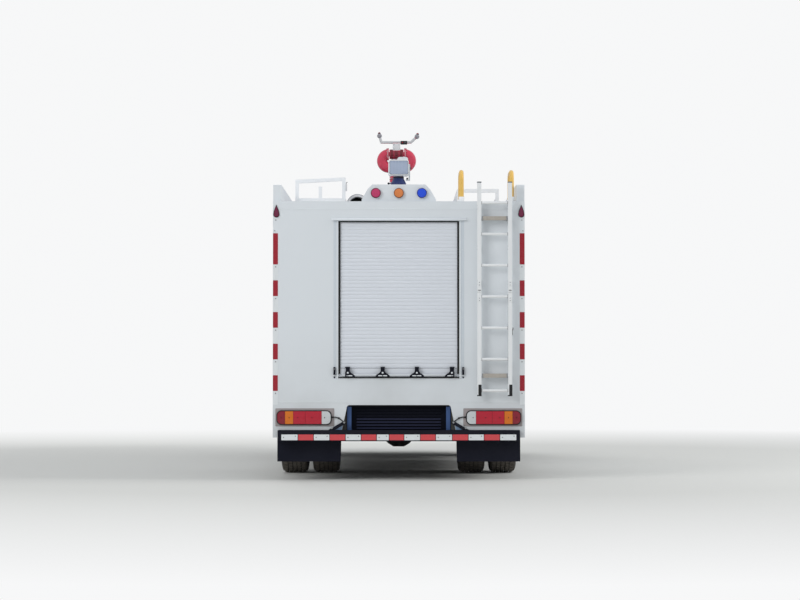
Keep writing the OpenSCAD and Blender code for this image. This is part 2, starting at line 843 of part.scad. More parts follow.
module front_bumper() {
    color("white") {
        difference() {
            upwards(bumper_low, bumper_top) difference() {
                union() {
                    area(bumper_r - half_cab, half_cab - bumper_r, bumper_y1 - bumper_l, bumper_y1);
                    area(-half_cab, half_cab, bumper_y1 - bumper_l, bumper_y1 - bumper_r);
                    for (s = [-1, 1])
                        translate([s * (half_cab - bumper_r), bumper_y1 - bumper_r]) circle(bumper_r);
                }
                area(60 - half_cab, half_cab - 60, bumper_y1 - bumper_l - 1, bumper_y1 - 170);
                area(-half_cab, half_cab, bumper_y1 - 2 * bumper_l, bumper_y1 - bumper_l);
            }
            on_both_sides() along(bumper_y1 - lamp_in, bumper_y1 + 1)
                soft_area(lamp_x0, lamp_x1, lamp_z0, lamp_z1, lamp_r);
            along(bumper_y1 - 50, bumper_y1 + 1)
                soft_area(-plate_half, plate_half, plate_z0, plate_z1, 30);
        }
        on_both_sides() block(half_frame - rail_flange, half_frame, rail_front_y, bumper_y1 - 170,
                              rail_bottom + 20, bumper_top - 10);
    }
}

module headlamps() {
    color("lightgray") on_both_sides() difference() {
        along(bumper_y1 - lamp_in + seat, bumper_y1 - 12)
            soft_area(lamp_x0 + seat, lamp_x1 - seat, lamp_z0 + seat, lamp_z1 - seat, lamp_r - seat);
        rod_y(70, bumper_y1 - 40, bumper_y1, lamp_x0 + 100, (lamp_z0 + lamp_z1) / 2);
        rod_y(60, bumper_y1 - 40, bumper_y1, lamp_x1 - 90, (lamp_z0 + lamp_z1) / 2);
    }
}

// Grille: a framed panel with level bars, on the cab's front below the screen
grille_bars = 7;
grille_z0 = cab_low_z + 60;
grille_z1 = sill_z - 140;
grille_half = 760;

module front_grille() {
    color([0.1, 0.1, 0.12]) {
        along(cab_front_y, cab_front_y + 12) soft_area(-grille_half, grille_half, grille_z0, grille_z1, 50);
        pitch = (grille_z1 - grille_z0 - 60) / grille_bars;
        for (i = [0 : grille_bars - 1]) across(60 - grille_half, grille_half - 60) {
            z = grille_z0 + 30 + pitch * (i + 0.2);
            polygon([[cab_front_y + 12, z], [cab_front_y + 34, z + 12], [cab_front_y + 34, z + 30],
                     [cab_front_y + 12, z + 44]]);
        }
        on_both_sides() block(350, 420, cab_front_y, cab_front_y + 40, bumper_top, cab_low_z + 80);
        along(cab_front_y - 40, cab_front_y) area(-900, 900, bumper_top + 10, cab_low_z - 5);
    }
}

// Mirrors on two arms from the cab's front corners, clear of the doors' swing
mirror_y = cab_front_y - 95;
mirror_z0 = sill_z + 100;
mirror_z1 = window_top - 20;
mirror_in = 70;
mirror_out = 270;

module mirrors() {
    color([0.1, 0.1, 0.12]) on_both_sides() {
        difference() {
            for (z = [mirror_z0 + 60, mirror_z1 - 60])
                rod_x(14, half_cab - cab_t, half_cab + mirror_in + 40, mirror_y, z);
            cab_form(-seat);
        }
        along(mirror_y - 45, mirror_y + 45)
            soft_area(half_cab + mirror_in, half_cab + mirror_out, mirror_z0, mirror_z1, 60);
    }
}

// Roof light bar on two feet
light_bar_y = cab_front_y - 760;
light_bar_half = 700;
light_bar_d = 160;
light_bar_h = 150;
light_foot_h = 40;

module light_bar() {
    color("royalblue") {
        across(-light_bar_half, light_bar_half)
            soft_area(light_bar_y - light_bar_d, light_bar_y + light_bar_d,
                      cab_roof_z + light_foot_h, cab_roof_z + light_foot_h + light_bar_h, 60);
        on_both_sides()
            block(light_bar_half - 220, light_bar_half - 140, light_bar_y - 100, light_bar_y + 100,
                  cab_roof_z, cab_roof_z + light_foot_h + 20);
    }
}

// Body: side walls with shutter openings, wheel arches and step flap openings

// Side shutters, as rear edge, front edge and lower edge along the wall
wheel_y0 = rear_axle_y - arch_r - 70;
wheel_y1 = rear_axle_y + arch_r + 70;
side_post = 150;
tank_bay = 1150;
side_rows = [[rear_y + side_post, wheel_y0 - 110, side_open_z],
             [rear_axle_y - arch_r - 30, rear_axle_y + arch_r + 30, over_wheel_z + 20],
             [wheel_y1 + 60 + tank_bay, body_front_y - side_post - 50, side_open_z]];
flap_row = side_rows[2];
flap_z0 = locker_z + 10;
flap_z1 = flap_z0 + flap_h;

// The flaps' hinge line, and where along it the hinges sit
flap_hinge_z = flap_z0 + panel_gap / 2;
flap_hinge_ys = [flap_row[0] + 150, flap_row[1] - 230];

flap_barrel_r = hinge_r - 2;

module flap_rod(r, y0, y1) {
    rod_y(r, y0, y1, half_w, flap_hinge_z);
}

module side_outline() {
    difference() {
        area(wall_in_y, body_front_y, skirt_z, deck_z);
        for (row = side_rows) area(row[0], row[1], row[2], side_open_top);
        area(flap_row[0], flap_row[1], flap_z0, flap_z1);
        translate([rear_axle_y, wheel_z]) circle(arch_r);
        area(rear_axle_y - arch_r, rear_axle_y + arch_r, skirt_z - 1, wheel_z);
    }
}

module body_sides() {
    color("white") on_both_sides() {
        difference() {
            across(inner_w, half_w) side_outline();
            for (y = flap_hinge_ys)
                flap_rod(flap_barrel_r + hinge_slack, y + hinge_h, y + 2 * hinge_h + 2 * hinge_slack);
        }
        for (y = flap_hinge_ys) {
            flap_rod(flap_barrel_r, y, y + hinge_h);
            flap_rod(hinge_pin_r, y, y + 2 * hinge_h);
        }
        across(half_w - parapet_t, half_w) area(wall_in_y, body_front_y, deck_z, parapet_top);
    }
}

// Recess of the apron, with its soft upper corners, and the rear shutter's opening
recess_top = 742;
recess_half_top = 513;
recess_half_low = 564;
recess_r = 30;

module recess_outline() {
    flare = (recess_half_low - recess_half_top) / (recess_top - 494) * (recess_top - skirt_z + 1);
    polygon([[-recess_half_top - flare, skirt_z - 1], [recess_half_top + flare, skirt_z - 1],
             [recess_half_top + 4, recess_top - recess_r], [-recess_half_top - 4, recess_top - recess_r]]);
    area(recess_r - recess_half_top, recess_half_top - recess_r, recess_top - recess_r - 1, recess_top);
    for (s = [-1, 1])
        translate([s * (recess_half_top + 4 - recess_r), recess_top - recess_r]) circle(recess_r);
}

module body_ends() {
    color("white") {
        along(rear_y, wall_in_y) difference() {
            area(-half_w, half_w, skirt_z, wall_top);
            area(-rear_open_w / 2, rear_open_w / 2, rear_open_z, rear_open_z + rear_open_h);
            recess_outline();
        }
        block(-inner_w, inner_w, body_front_y - wall_t, body_front_y, floor_z, deck_z - wall_t);
    }
}

// Deck with the raised lamp panel that stands at its rear edge
panel_top = 2935;
panel_half_low = 370;
panel_half_top = 310;
panel_cut = 45;

module body_deck() {
    color("white") {
        block(-inner_w, inner_w, wall_in_y, body_front_y, deck_z - wall_t, deck_z);
        along(wall_in_y, wall_in_y + 60) polygon([
            [-panel_half_low, deck_z], [panel_half_low, deck_z], [panel_half_low, wall_top + 20],
            [panel_half_top, panel_top - panel_cut], [panel_half_top - panel_cut, panel_top],
            [panel_cut - panel_half_top, panel_top], [-panel_half_top, panel_top - panel_cut],
            [-panel_half_low, wall_top + 20]]);
    }
}

// Floor: a hat section along the lockers, stepped over the wheels, with cross-bearers on the frame
bearer_y = rail_rear_y + 100;
bearer_half = 60;

module locker_section() {
    area(-locker_in - wall_t, locker_in + wall_t, floor_z - wall_t, floor_z);
    for (s = [0, 1]) mirror([s, 0]) {
        area(locker_in, locker_in + wall_t, locker_z, floor_z);
        area(locker_in, inner_w, locker_z, locker_z + wall_t);
    }
}

module wheel_section() {
    area(-locker_in - wall_t, locker_in + wall_t, floor_z - wall_t, floor_z);
    for (s = [0, 1]) mirror([s, 0]) {
        area(locker_in, locker_in + wall_t, rail_bottom + 80, over_wheel_z);
        area(locker_in, inner_w, over_wheel_z - wall_t, over_wheel_z);
    }
}

module body_floor() {
    color("gray") {
        along(wall_in_y, wheel_y0) locker_section();
        along(wheel_y0, wheel_y1) wheel_section();
        along(wheel_y1, body_front_y) locker_section();
        on_both_sides() {
            for (y = [wheel_y0 - wall_t, wheel_y1])
                block(locker_in, inner_w, y, y + wall_t, locker_z, over_wheel_z);
            block(half_frame - bearer_half, half_frame, bearer_y, body_front_y, frame_top, floor_z - wall_t);
        }
    }
}

// One shutter's side view: bowed slats above a plain bottom rail, from its lower edge up
slat_bow = 4;

module shutter_section(height, rail) {
    count = floor((height - rail) / slat_pitch);
    area(0, shutter_t - slat_bow, 0, height);
    area(shutter_t - slat_bow - 1, shutter_t, 0, rail);
    for (i = [0 : count - 1]) translate([shutter_t - slat_bow, rail + i * slat_pitch])
        polygon([[-1, 2], [0, 2], [slat_bow * 0.8, 8], [slat_bow, slat_pitch / 2],
                 [slat_bow * 0.8, slat_pitch - 6], [0, slat_pitch], [-1, slat_pitch]]);
}

// Shutters hang in the openings, in plain guides on the opening's inner edges
module side_shutters() {
    color("lightsteelblue") on_both_sides() for (row = side_rows)
        translate([half_w - shutter_in - shutter_t, 0, row[2]])
            along(row[0], row[1]) shutter_section(side_open_top - row[2], 70);
}

module rear_shutter() {
    color("lightsteelblue") translate([0, rear_y + shutter_in + shutter_t, rear_open_z])
        rotate([0, 0, -90]) along(-rear_open_w / 2, rear_open_w / 2) shutter_section(rear_open_h, 91);
}

// Lift bar of the rear shutter: a rail on four flared brackets, with a catch at each end
bracket_xs = [-505, -160, 179, 526];
bracket_h = 101;
bracket_out = 26;
// Half of a bracket's outline, from its foot out to the shoulder and in to the stem: [beside, above]
bracket_side = [[70, 0], [70, 14], [53, 28], [28, 44], [20, 60], [20, bracket_h]];
lift_rod_z = rear_open_z + 18;
catch_low = rear_open_z + 22;
catch_h = 76;

module lift_bar() {
    color([0.05, 0.05, 0.06]) {
        rod_x(10, -rear_open_w / 2 + 40, rear_open_w / 2 - 40, rear_y - 18, lift_rod_z);
        for (x = bracket_xs) along(rear_y - 30, rear_y + shutter_in) intersection() {
            translate([x, rear_open_z]) for (s = [0, 1]) mirror([s, 0])
                polygon(concat([[-1, 0]], bracket_side, [[-1, bracket_h]]));
            area(bracket_xs[0] - bracket_out, bracket_xs[3] + bracket_out,
                 rear_open_z, rear_open_z + bracket_h);
        }
        on_both_sides() along(rear_y - 24, rear_y)
            area(rear_open_w / 2 + 28, rear_open_w / 2 + 48, catch_low, catch_low + catch_h);
    }
}

// Step flap: a slab hinged at its lower outer edge, with a pull slot near its top
slot_y = (flap_row[0] + flap_row[1]) / 2;

module step_flap() {
    color("lightsteelblue") {
        difference() {
            across(inner_w + 6, half_w) difference() {
                area(flap_row[0] + panel_gap, flap_row[1] - panel_gap, flap_z0 + panel_gap,
                     flap_z1 - panel_gap);
                soft_area(slot_y - 70, slot_y + 70, flap_z1 - 70, flap_z1 - 40, 14);
            }
            for (y = flap_hinge_ys) {
                flap_rod(flap_barrel_r + hinge_slack, y - hinge_slack, y + hinge_h + hinge_slack);
                flap_rod(hinge_pin_r + pin_gap, y, y + 2 * hinge_h + hinge_slack);
            }
        }
        for (y = flap_hinge_ys) difference() {
            flap_rod(flap_barrel_r, y + hinge_h + hinge_slack, y + 2 * hinge_h);
            flap_rod(hinge_pin_r + pin_gap, y, y + 3 * hinge_h);
        }
    }
}

module flap_right() { step_flap(); }
module flap_left() { mirror([1, 0, 0]) step_flap(); }

// Racks: a square-tube frame on the left with a sloping top, and a low one on the right
rack_tube = 36;
rack_y0 = rear_y + 900;
rack_y1 = body_front_y - 700;
rack_pitch = 1150;
rack_count = floor((rack_y1 - rack_y0) / rack_pitch);
rack_x0 = -1065;
rack_x1 = -548;
rack_low_top = deck_z + 185;
rack_inner_top = deck_z + 400;
rack_outer_top = deck_z + 375;
rack_post_x = -825;
rack_post_top = deck_z + 305;
right_rack_x0 = 600;
right_rack_x1 = 1030;
right_rack_top = deck_z + 280;

// Tall end frame of the left rack, with its slanted top and the stub post on its low bar
module left_end_frame() {
    difference() {
        polygon([[rack_x0, deck_z], [rack_x1, deck_z], [rack_x1, rack_inner_top], [rack_x0, rack_outer_top]]);
        polygon([[rack_x0 + rack_tube, rack_low_top], [rack_x1 - rack_tube, rack_low_top],
                 [rack_x1 - rack_tube, rack_inner_top - rack_tube],
                 [rack_x0 + rack_tube, rack_outer_top - rack_tube]]);
        area(rack_x0 + rack_tube, rack_x1 - rack_tube, deck_z - 1, rack_low_top - rack_tube);
    }
    area(rack_post_x, rack_post_x + rack_tube - 1, rack_low_top - 5, rack_post_top);
}

// A hoop on the deck, whose legs stand at x0 and x1
module hoop(x0, x1, top) {
    difference() {
        area(x0, x1, deck_z, top);
        area(x0 + rack_tube, x1 - rack_tube, deck_z - 1, top - rack_tube);
    }
}

module roof_racks() {
    y1 = rack_y0 + rack_count * rack_pitch + rack_tube;
    color("white") {
        along(rack_y0, rack_y0 + rack_tube) {
            left_end_frame();
            hoop(right_rack_x0, right_rack_x1, right_rack_top);
        }
        // Each rack's two legs: [x0, x1]
        for (row = [[rack_x0, rack_x1], [right_rack_x0, right_rack_x1]]) {
            for (y = [rack_y0 + rack_pitch : rack_pitch : y1])
                along(y, y + rack_tube) hoop(row[0], row[1], rack_low_top);
            for (x = [row[0], row[1] - rack_tube])
                block(x, x + rack_tube, rack_y0, y1, rack_low_top - rack_tube, rack_low_top);
        }
        along(rack_y0, y1) area(right_rack_x0, right_rack_x0 + rack_tube,
                                right_rack_top - rack_tube, right_rack_top);
        for (y = [rack_y0 : rack_pitch : y1]) along(y, y + rack_tube)
            area(right_rack_x0, right_rack_x0 + rack_tube, deck_z, right_rack_top);
    }
}

// Suction tubes: open tubes with a ring at each end, on saddles along the deck
suction_x = -427;
suction_y0 = rear_y + 1000;
suction_l = 2200;
suction_z = deck_z + suction_d / 2 + 6;
suction_ring = 60;
suction_wall = 26;
saddle_ys = [suction_y0 + 300, suction_y0 + suction_l - 400];

module suction_tubes() {
    color("darkgray") {
        difference() {
            union() {
                rod_y(suction_d / 2 - 8, suction_y0, suction_y0 + suction_l, suction_x, suction_z);
                for (y = [suction_y0, suction_y0 + suction_l - suction_ring])
                    rod_y(suction_d / 2, y, y + suction_ring, suction_x, suction_z);
            }
            rod_y(suction_d / 2 - 8 - suction_wall, suction_y0 - 1, suction_y0 + suction_l + 1,
                  suction_x, suction_z);
        }
        for (y = saddle_ys) difference() {
            block(suction_x - 110, suction_x + 90, y, y + 60, deck_z, deck_z + 70);
            rod_y(suction_d / 2 - 8 + seat, y - 1, y + 61, suction_x, suction_z);
        }
    }
}

// Handrails: fore-and-aft hoops at the ladder's head, on base plates over the deck
handrail_rows = [[625, 3068], [1125, 3066]];
handrail_y0 = wall_in_y + 60;
handrail_l = 420;
handrail_foot = 42;
socket_h = 150;
bend_r = 90;

module hoop_path(tube_r, y0, length, z0, z1) {
    for (y = [y0, y0 + length]) rod_z(tube_r, z0, z1 - bend_r, 0, y);
    rod_y(tube_r, y0 + bend_r, y0 + length - bend_r, 0, z1);
    for (s = [0, 1])
        translate([0, s == 0 ? y0 + bend_r : y0 + length - bend_r, z1 - bend_r])
            rotate([90, 0, s == 0 ? -90 : 90]) rotate_extrude(angle = 90)
                translate([bend_r, 0]) circle(tube_r);
}

module hand_rails() {
    color([0.94, 0.8, 0.5]) for (row = handrail_rows) translate([row[0], 0, 0]) {
        hoop_path(handrail_d / 2, handrail_y0, handrail_l, deck_z + 8, row[1]);
        for (y = [handrail_y0, handrail_y0 + handrail_l]) translate([0, y]) {
            upwards(deck_z, deck_z + 8)
                soft_area(-handrail_foot, handrail_foot, -handrail_foot, handrail_foot, 10);
            upwards(deck_z + 8, deck_z + socket_h) circle(handrail_d / 2 + 4);
        }
    }
}

// Ladder: two rails with round rungs and flat treads, split at its hinge
ladder_low = 831;
ladder_top = 2955;
ladder_fold_z = 1865;
ladder_hinge_r = 8;
ladder_pin_r = 4;
ladder_y0 = ladder_hinge_r - overall_l / 2;
first_rung_z = 886;
treads = [1040, 2597];
rung_r = 14;
ladder_bracket_zs = [ladder_fold_z + 90, 2300, wall_top - 65];
ladder_xs = [ladder_x - ladder_w / 2, ladder_x + ladder_w / 2];

module ladder_part(z0, z1) {
    for (x = ladder_xs)
        block(x - ladder_rail / 2, x + ladder_rail / 2, ladder_y0, ladder_y0 + ladder_rail, z0, z1);
    for (i = [0 : 7]) {
        z = first_rung_z + i * rung_pitch;
        if (z > z0 + 15 && z < z1 - 15)
            rod_x(rung_r, ladder_x - ladder_w / 2, ladder_x + ladder_w / 2, ladder_y0 + ladder_rail / 2, z);
    }
    for (z = treads) if (z > z0 && z < z1)
        block(ladder_x - ladder_w / 2, ladder_x + ladder_w / 2, ladder_y0 + 4, ladder_y0 + ladder_rail + 40,
              z - 12, z + 12);
}

// One barrel of the ladder's hinge on a rail, from one place to another beside the rail's middle
module hinge_barrel(x, r, x0, x1) {
    rod_x(r, x + x0, x + x1, ladder_y0, ladder_fold_z);
}

module ladder_upper() {
    color("silver") {
        difference() {
            ladder_part(ladder_fold_z + panel_gap / 2, ladder_top);
            for (x = ladder_xs) hinge_barrel(x, ladder_hinge_r + 2, 0, ladder_rail);
        }
        for (x = ladder_xs) {
            hinge_barrel(x, ladder_hinge_r, -20, -1);
            hinge_barrel(x, ladder_pin_r, -20, 20);
            for (z = ladder_bracket_zs)
                block(x - 14, x + 14, ladder_y0 + ladder_rail, rear_y, z - 25, z + 25);
        }
    }
}

module ladder_lower() {
    color("silver") {
        difference() {
            ladder_part(ladder_low, ladder_fold_z - panel_gap / 2);
            for (x = ladder_xs) hinge_barrel(x, ladder_hinge_r + 2, -ladder_rail, 0);
        }
        for (x = ladder_xs) difference() {
            hinge_barrel(x, ladder_hinge_r, 1, 20);
            hinge_barrel(x, ladder_pin_r + pin_gap, 0, 21);
        }
    }
}

// Underrun bar on two arms from the frame, with a diagonal stay at each side
bar_top = 496;
bar_y1 = rear_y - 6;
bar_t = 44;
arm_t = 16;

module underrun_bar() {
    color([0.06, 0.08, 0.14]) {
        across(-bar_w / 2, bar_w / 2) soft_area(bar_y1 - bar_t, bar_y1, bar_top - bar_h, bar_top, 8);
        on_both_sides() {
            block(half_frame, half_frame + arm_t, bar_y1 - 1, rail_rear_y + 90, bar_top - 100, bar_top - 10);
            block(half_frame, half_frame + arm_t, rail_rear_y, rail_rear_y + 90,
                  bar_top - 100, frame_top - 60);
            along(bar_y1 - 22, bar_y1) polygon([[683, bar_top - 2], [700, bar_top - 2], [548, 583],
                                                [534, 583], [520, 560], [640, bar_top - 2]]);
        }
    }
}

mudflap_t = 12;
mudflap_in = 578;
mudflap_out = 1208;
mudflap_low = 180;

module mudflaps() {
    color([0.06, 0.07, 0.1]) on_both_sides()
        along(rear_y + 90, rear_y + 90 + mudflap_t) area(mudflap_in, mudflap_out, mudflap_low, locker_z);
}

// Rear lamps: long tail lamps with round corners, teardrop markers and the three round beacons of the lamp panel
tail_x1 = 1212;
tail_z = 618;
tail_r = 48;
beacon_z = 2849;
marker_x = half_w - 34;
marker_z = 2634;
marker_r = 32;
beacon_xs = [-229, 0, 229];

module rear_lamps() {
    color("darkred") {
        on_both_sides() {
            along(rear_y - 34, rear_y)
                soft_area(tail_x1 - tail_w, tail_x1, tail_z - tail_h / 2, tail_z + tail_h / 2, tail_r);
            along(rear_y - 14, rear_y) union() {
                translate([marker_x, marker_z]) circle(marker_r);
                polygon([[marker_x - marker_r, marker_z], [marker_x + marker_r, marker_z],
                         [marker_x, marker_z + 98]]);
            }
        }
        for (x = beacon_xs) rod_y(50, rear_y + 10, wall_in_y, x, beacon_z);
    }
}

// Monitor: pedestal, a turning body with two C-shaped elbows, and the tilting barrel
monitor_x = -24;
monitor_axis_y = rear_y + monitor_y;
swivel_z = 3090;
tube_r = monitor_tube / 2;
elbow_r = 70;
lower_z = 3205;
pivot_z = lower_z + 2 * elbow_r;
elbow_x = 80;
elbow_collar = 22;
collar_r = 72;
collar_h = 36;
trunnion_r = 24;
spigot_r = 42;

module monitor_base() {
    color("firebrick") translate([monitor_x, monitor_axis_y, 0]) {
        upwards(deck_z, deck_z + 16) circle(150);
        upwards(deck_z + 16, swivel_z - 40) circle(60);
        upwards(swivel_z - 40, swivel_z - 2) difference() {
            circle(collar_r);
            circle(spigot_r + pin_gap);
        }
    }
}

module monitor_body() {
    color("firebrick") translate([monitor_x, monitor_axis_y, 0]) {
        upwards(swivel_z + 3, swivel_z + 3 + collar_h) circle(collar_r);
        upwards(swivel_z - 34, swivel_z + 6) circle(spigot_r);
        upwards(swivel_z + 3, lower_z) circle(tube_r);
        rod_x(tube_r, -elbow_x, elbow_x, 0, lower_z);
        for (s = [-1, 1]) {
            translate([s * elbow_x, 0, lower_z + elbow_r]) rotate([90, 0, 0])
                rotate([0, 0, s > 0 ? -90 : 90]) rotate_extrude(angle = 180)
                    translate([elbow_r, 0]) circle(tube_r);
        }
        on_both_sides() {
            rod_x(trunnion_r, elbow_x - 24, elbow_x, 0, pivot_z);
            rod_x(tube_r + 9, elbow_x, elbow_x + elbow_collar, 0, pivot_z);
        }
    }
}

// Barrel: a cross body on the trunnions, the tube with its flared nozzle, and the handlebar
cross_r = 50;
barrel_r = 46;
nozzle_r = 60;
nozzle_l = 160;
nozzle_waist = nozzle_r - 16;
bar_back = 20;
bar_lift = 123;
bar_r = 13;
bend_ball_r = bar_r + 0.4;
knob_r = 25;
cap_r = 14;
saddle_half = 38;
// Handlebar's ends: [where the straight ends, the knob's x, the knob's height above the bar]
bar_ends = [[-159, -178, 68], [150, 214, 60]];
nozzle_bore_r = 28;

module monitor_barrel() {
    color("firebrick") translate([monitor_x, monitor_axis_y, pivot_z]) difference() {
        union() {
            rod_x(cross_r, 6 - elbow_x, elbow_x - 6, 0, 0);
            rod_y(barrel_r, 0, barrel_l - nozzle_l, 0, 0);
            translate([0, barrel_l - nozzle_l, 0]) rotate([-90, 0, 0]) rotate_extrude()
                polygon([[0, 0], [nozzle_waist + 8, 0], [nozzle_waist + 8, 40], [nozzle_waist, 50],
                         [nozzle_waist, 80], [nozzle_r, nozzle_l - 10], [nozzle_r, nozzle_l], [0, nozzle_l]]);
            block(-saddle_half, saddle_half, -bar_back - 20, 10, 0, bar_lift - 10);
            rod_x(bar_r, bar_ends[0][0], bar_ends[1][0], -bar_back, bar_lift);
            for (row = bar_ends) translate([row[0], -bar_back, bar_lift]) {
                out = row[1] - row[0];
                sphere(bend_ball_r);
                rotate([0, atan2(out, row[2]), 0]) cylinder(r = bar_r, h = norm([out, row[2]]));
                translate([out, 0, row[2]]) sphere(knob_r);
                translate([out * 1.1, 0, row[2] + knob_r]) sphere(cap_r);
            }
        }
        rod_y(nozzle_bore_r, 200, barrel_l + 1, 0, 0);
        on_both_sides() rod_x(trunnion_r + pin_gap, elbow_x - 27, elbow_x, 0, 0);
    }
}

// Searchlight: a flared post, and the turning head in its side bracket
search_axis_y = rear_y + search_y;
search_x = -3;
post_top = deck_z + 400;
post_pin_r = 20;
post_pin_h = 18;
post_r = 80;
neck_r = 55;
search_half = 104;
strap_t = 15;
strap_foot = 74;
ball_z = post_top - 69;

module searchlight_post() {
    color("midnightblue") translate([search_x, search_axis_y, 0]) {
        rotate_extrude() polygon([[0, deck_z], [post_r + 30, deck_z], [post_r + 30, deck_z + 12],
                                  [post_r, deck_z + 24], [post_r, post_top - 70], [neck_r, post_top - 20],
                                  [neck_r, post_top], [post_pin_r, post_top],
                                  [post_pin_r, post_top + post_pin_h], [0, post_top + post_pin_h]]);
        translate([-post_r - 22, -30, ball_z]) sphere(11);
        rod_x(5, -post_r - 22, -post_r / 2, -30, ball_z);
    }
}

module searchlight_head() {
    color("whitesmoke") translate([search_x, search_axis_y, 0]) {
        difference() {
            union() {
                along(-100, 60) soft_area(-search_half, search_half, post_top + 8, post_top + 170, 24);
                upwards(post_top + 4, post_top + 20) circle(neck_r - 5);
            }
            upwards(post_top + 3, post_top + post_pin_h + 2) circle(post_pin_r + pin_gap);
        }
        along(-70, 60) soft_area(-12, 98, post_top + 100, post_top + 200, 25);
        block(search_half - 1, search_half + strap_t, -30, 10, post_top - 40, post_top + 130);
        block(strap_foot, search_half + strap_t, -30, 10, post_top - 40, post_top - 28);
    }
}

frame_rails();
front_axle();
rear_axle();
leaf_springs();
powertrain();
chassis_tanks();
knuckle_left();
knuckle_right();
tyre_front_left();
tyre_front_right();
tyres_rear_left();
tyres_rear_right();
rim_front_left();
rim_front_right();
rims_rear_left();
rims_rear_right();
cab_floor();
cab_sides();
cab_ends();
cab_roof();
cab_glass();
cab_seats();
dashboard();
cab_steps();
door_front_left();
door_front_right();
door_crew_left();
door_crew_right();
glass_front_left();
glass_front_right();
glass_crew_left();
glass_crew_right();
front_bumper();
front_grille();
headlamps();
mirrors();
light_bar();
body_sides();
body_ends();
body_deck();
body_floor();
side_shutters();
rear_shutter();
lift_bar();
flap_left();
flap_right();
roof_racks();
suction_tubes();
hand_rails();
ladder_upper();
ladder_lower();
underrun_bar();
mudflaps();
rear_lamps();
monitor_base();
monitor_body();
monitor_barrel();
searchlight_post();
searchlight_head();
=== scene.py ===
# %% [markdown]
# An airport fire truck, seen from behind. The packed model already holds every panel, wheel and hinge at its
# real size, in metres, with +Y towards the cab and +Z up. This script gives those solids their finishes and adds
# what is too fine for them: tread, lenses, tape, rivets, gaskets and trim. Nothing from the packed model is moved.

# %% Load the packed model
import math
import random

import bpy
from mathutils import Matrix, Vector


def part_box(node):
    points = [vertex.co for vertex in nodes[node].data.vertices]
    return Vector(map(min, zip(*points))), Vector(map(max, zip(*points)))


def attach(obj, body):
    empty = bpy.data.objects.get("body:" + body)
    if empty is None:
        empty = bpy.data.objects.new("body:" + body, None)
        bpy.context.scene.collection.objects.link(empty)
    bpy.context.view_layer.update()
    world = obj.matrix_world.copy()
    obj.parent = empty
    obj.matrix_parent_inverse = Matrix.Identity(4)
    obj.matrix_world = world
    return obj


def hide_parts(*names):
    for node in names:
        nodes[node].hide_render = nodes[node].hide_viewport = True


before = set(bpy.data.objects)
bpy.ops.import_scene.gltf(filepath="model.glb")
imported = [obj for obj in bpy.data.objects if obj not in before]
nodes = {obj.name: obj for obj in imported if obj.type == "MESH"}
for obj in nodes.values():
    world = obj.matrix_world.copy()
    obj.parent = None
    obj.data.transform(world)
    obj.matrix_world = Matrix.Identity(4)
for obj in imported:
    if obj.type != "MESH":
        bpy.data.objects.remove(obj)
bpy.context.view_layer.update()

scene = bpy.context.scene

# %% [markdown]
# Most places are read off the solids, so a panel and the trim on it can't drift apart. The rear wall's face, the
# deck and the shutter's opening come up again and again, so they get names here. So do the left and right side and
# the directions that screws face.

# %% Places that many pieces share
ends_low, ends_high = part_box("body_ends")
shutter_low, shutter_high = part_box("rear_shutter")
REAR_Y, BODY_FRONT_Y, HALF_W = ends_low.y, ends_high.y, ends_high.x
OPEN_HALF, OPEN_LOW, OPEN_TOP = shutter_high.x, shutter_low.z, shutter_high.z
PARAPET_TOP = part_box("body_sides")[1].z
DECK_Z = 2.67
SIDES, BOTH = ("left", "right"), (-1, 1)
BACK, AHEAD, UP = (0, -1, 0), (0, 1, 0), (0, 0, 1)
print("rear wall at y", round(REAR_Y, 3), "shutter from", round(OPEN_LOW, 3), "to", round(OPEN_TOP, 3))

# %% [markdown]
# The photograph looks straight at the rear wall from about 25 m away, with the eye about 1.15 m up. That far off,
# a long lens fills the frame. The horizon lies below the picture's middle, so the camera tips up a little. A camera,
# a lamp or a mesh is only data until an object holds it and a collection links that object, so one helper does both.

# %% Camera at the photographer's place
PHOTO_WIDTH, PHOTO_HEIGHT = 800, 600
FOCAL_PIXELS = 2520
HORIZON = (398.8, 364)
EYE_HEIGHT = 1.149
EYE_DISTANCE = 25.0


def added(name, data):
    """A new object in the scene."""
    item = bpy.data.objects.new(name, data)
    scene.collection.objects.link(item)
    return item


camera_data = bpy.data.cameras.new("camera")
camera_data.sensor_width = 36
camera_data.lens = FOCAL_PIXELS * camera_data.sensor_width / PHOTO_WIDTH
camera_data.clip_end = 300
camera = added("camera", camera_data)
camera.location = (0, REAR_Y - EYE_DISTANCE, EYE_HEIGHT)
tip_up = math.atan((HORIZON[1] - PHOTO_HEIGHT / 2) / FOCAL_PIXELS)
turn = math.atan((PHOTO_WIDTH / 2 - HORIZON[0]) / FOCAL_PIXELS)
camera.rotation_euler = (math.pi / 2 + tip_up, 0, -turn)
scene.camera = camera
print("lens", round(camera_data.lens, 1), "mm, tipped up", round(math.degrees(tip_up), 2), "degrees")

# %% [markdown]
# Soft studio light: an even pale sky that fills every side, and three broad lamps that model the form. Broad lamps
# would show in the glossy roof as white sheets, so they are kept out of reflections, and three narrow lamps in the
# same places give the glints. A white background for the camera comes from its colour alone, so it adds no light.

# %% Sky and lamps
scene.view_settings.view_transform = "Standard"
SKY_STRENGTH = 0.62
SKY_COLOUR = (0.93, 0.96, 1.0, 1)
BACKDROP = (0.93, 0.935, 0.94, 1)

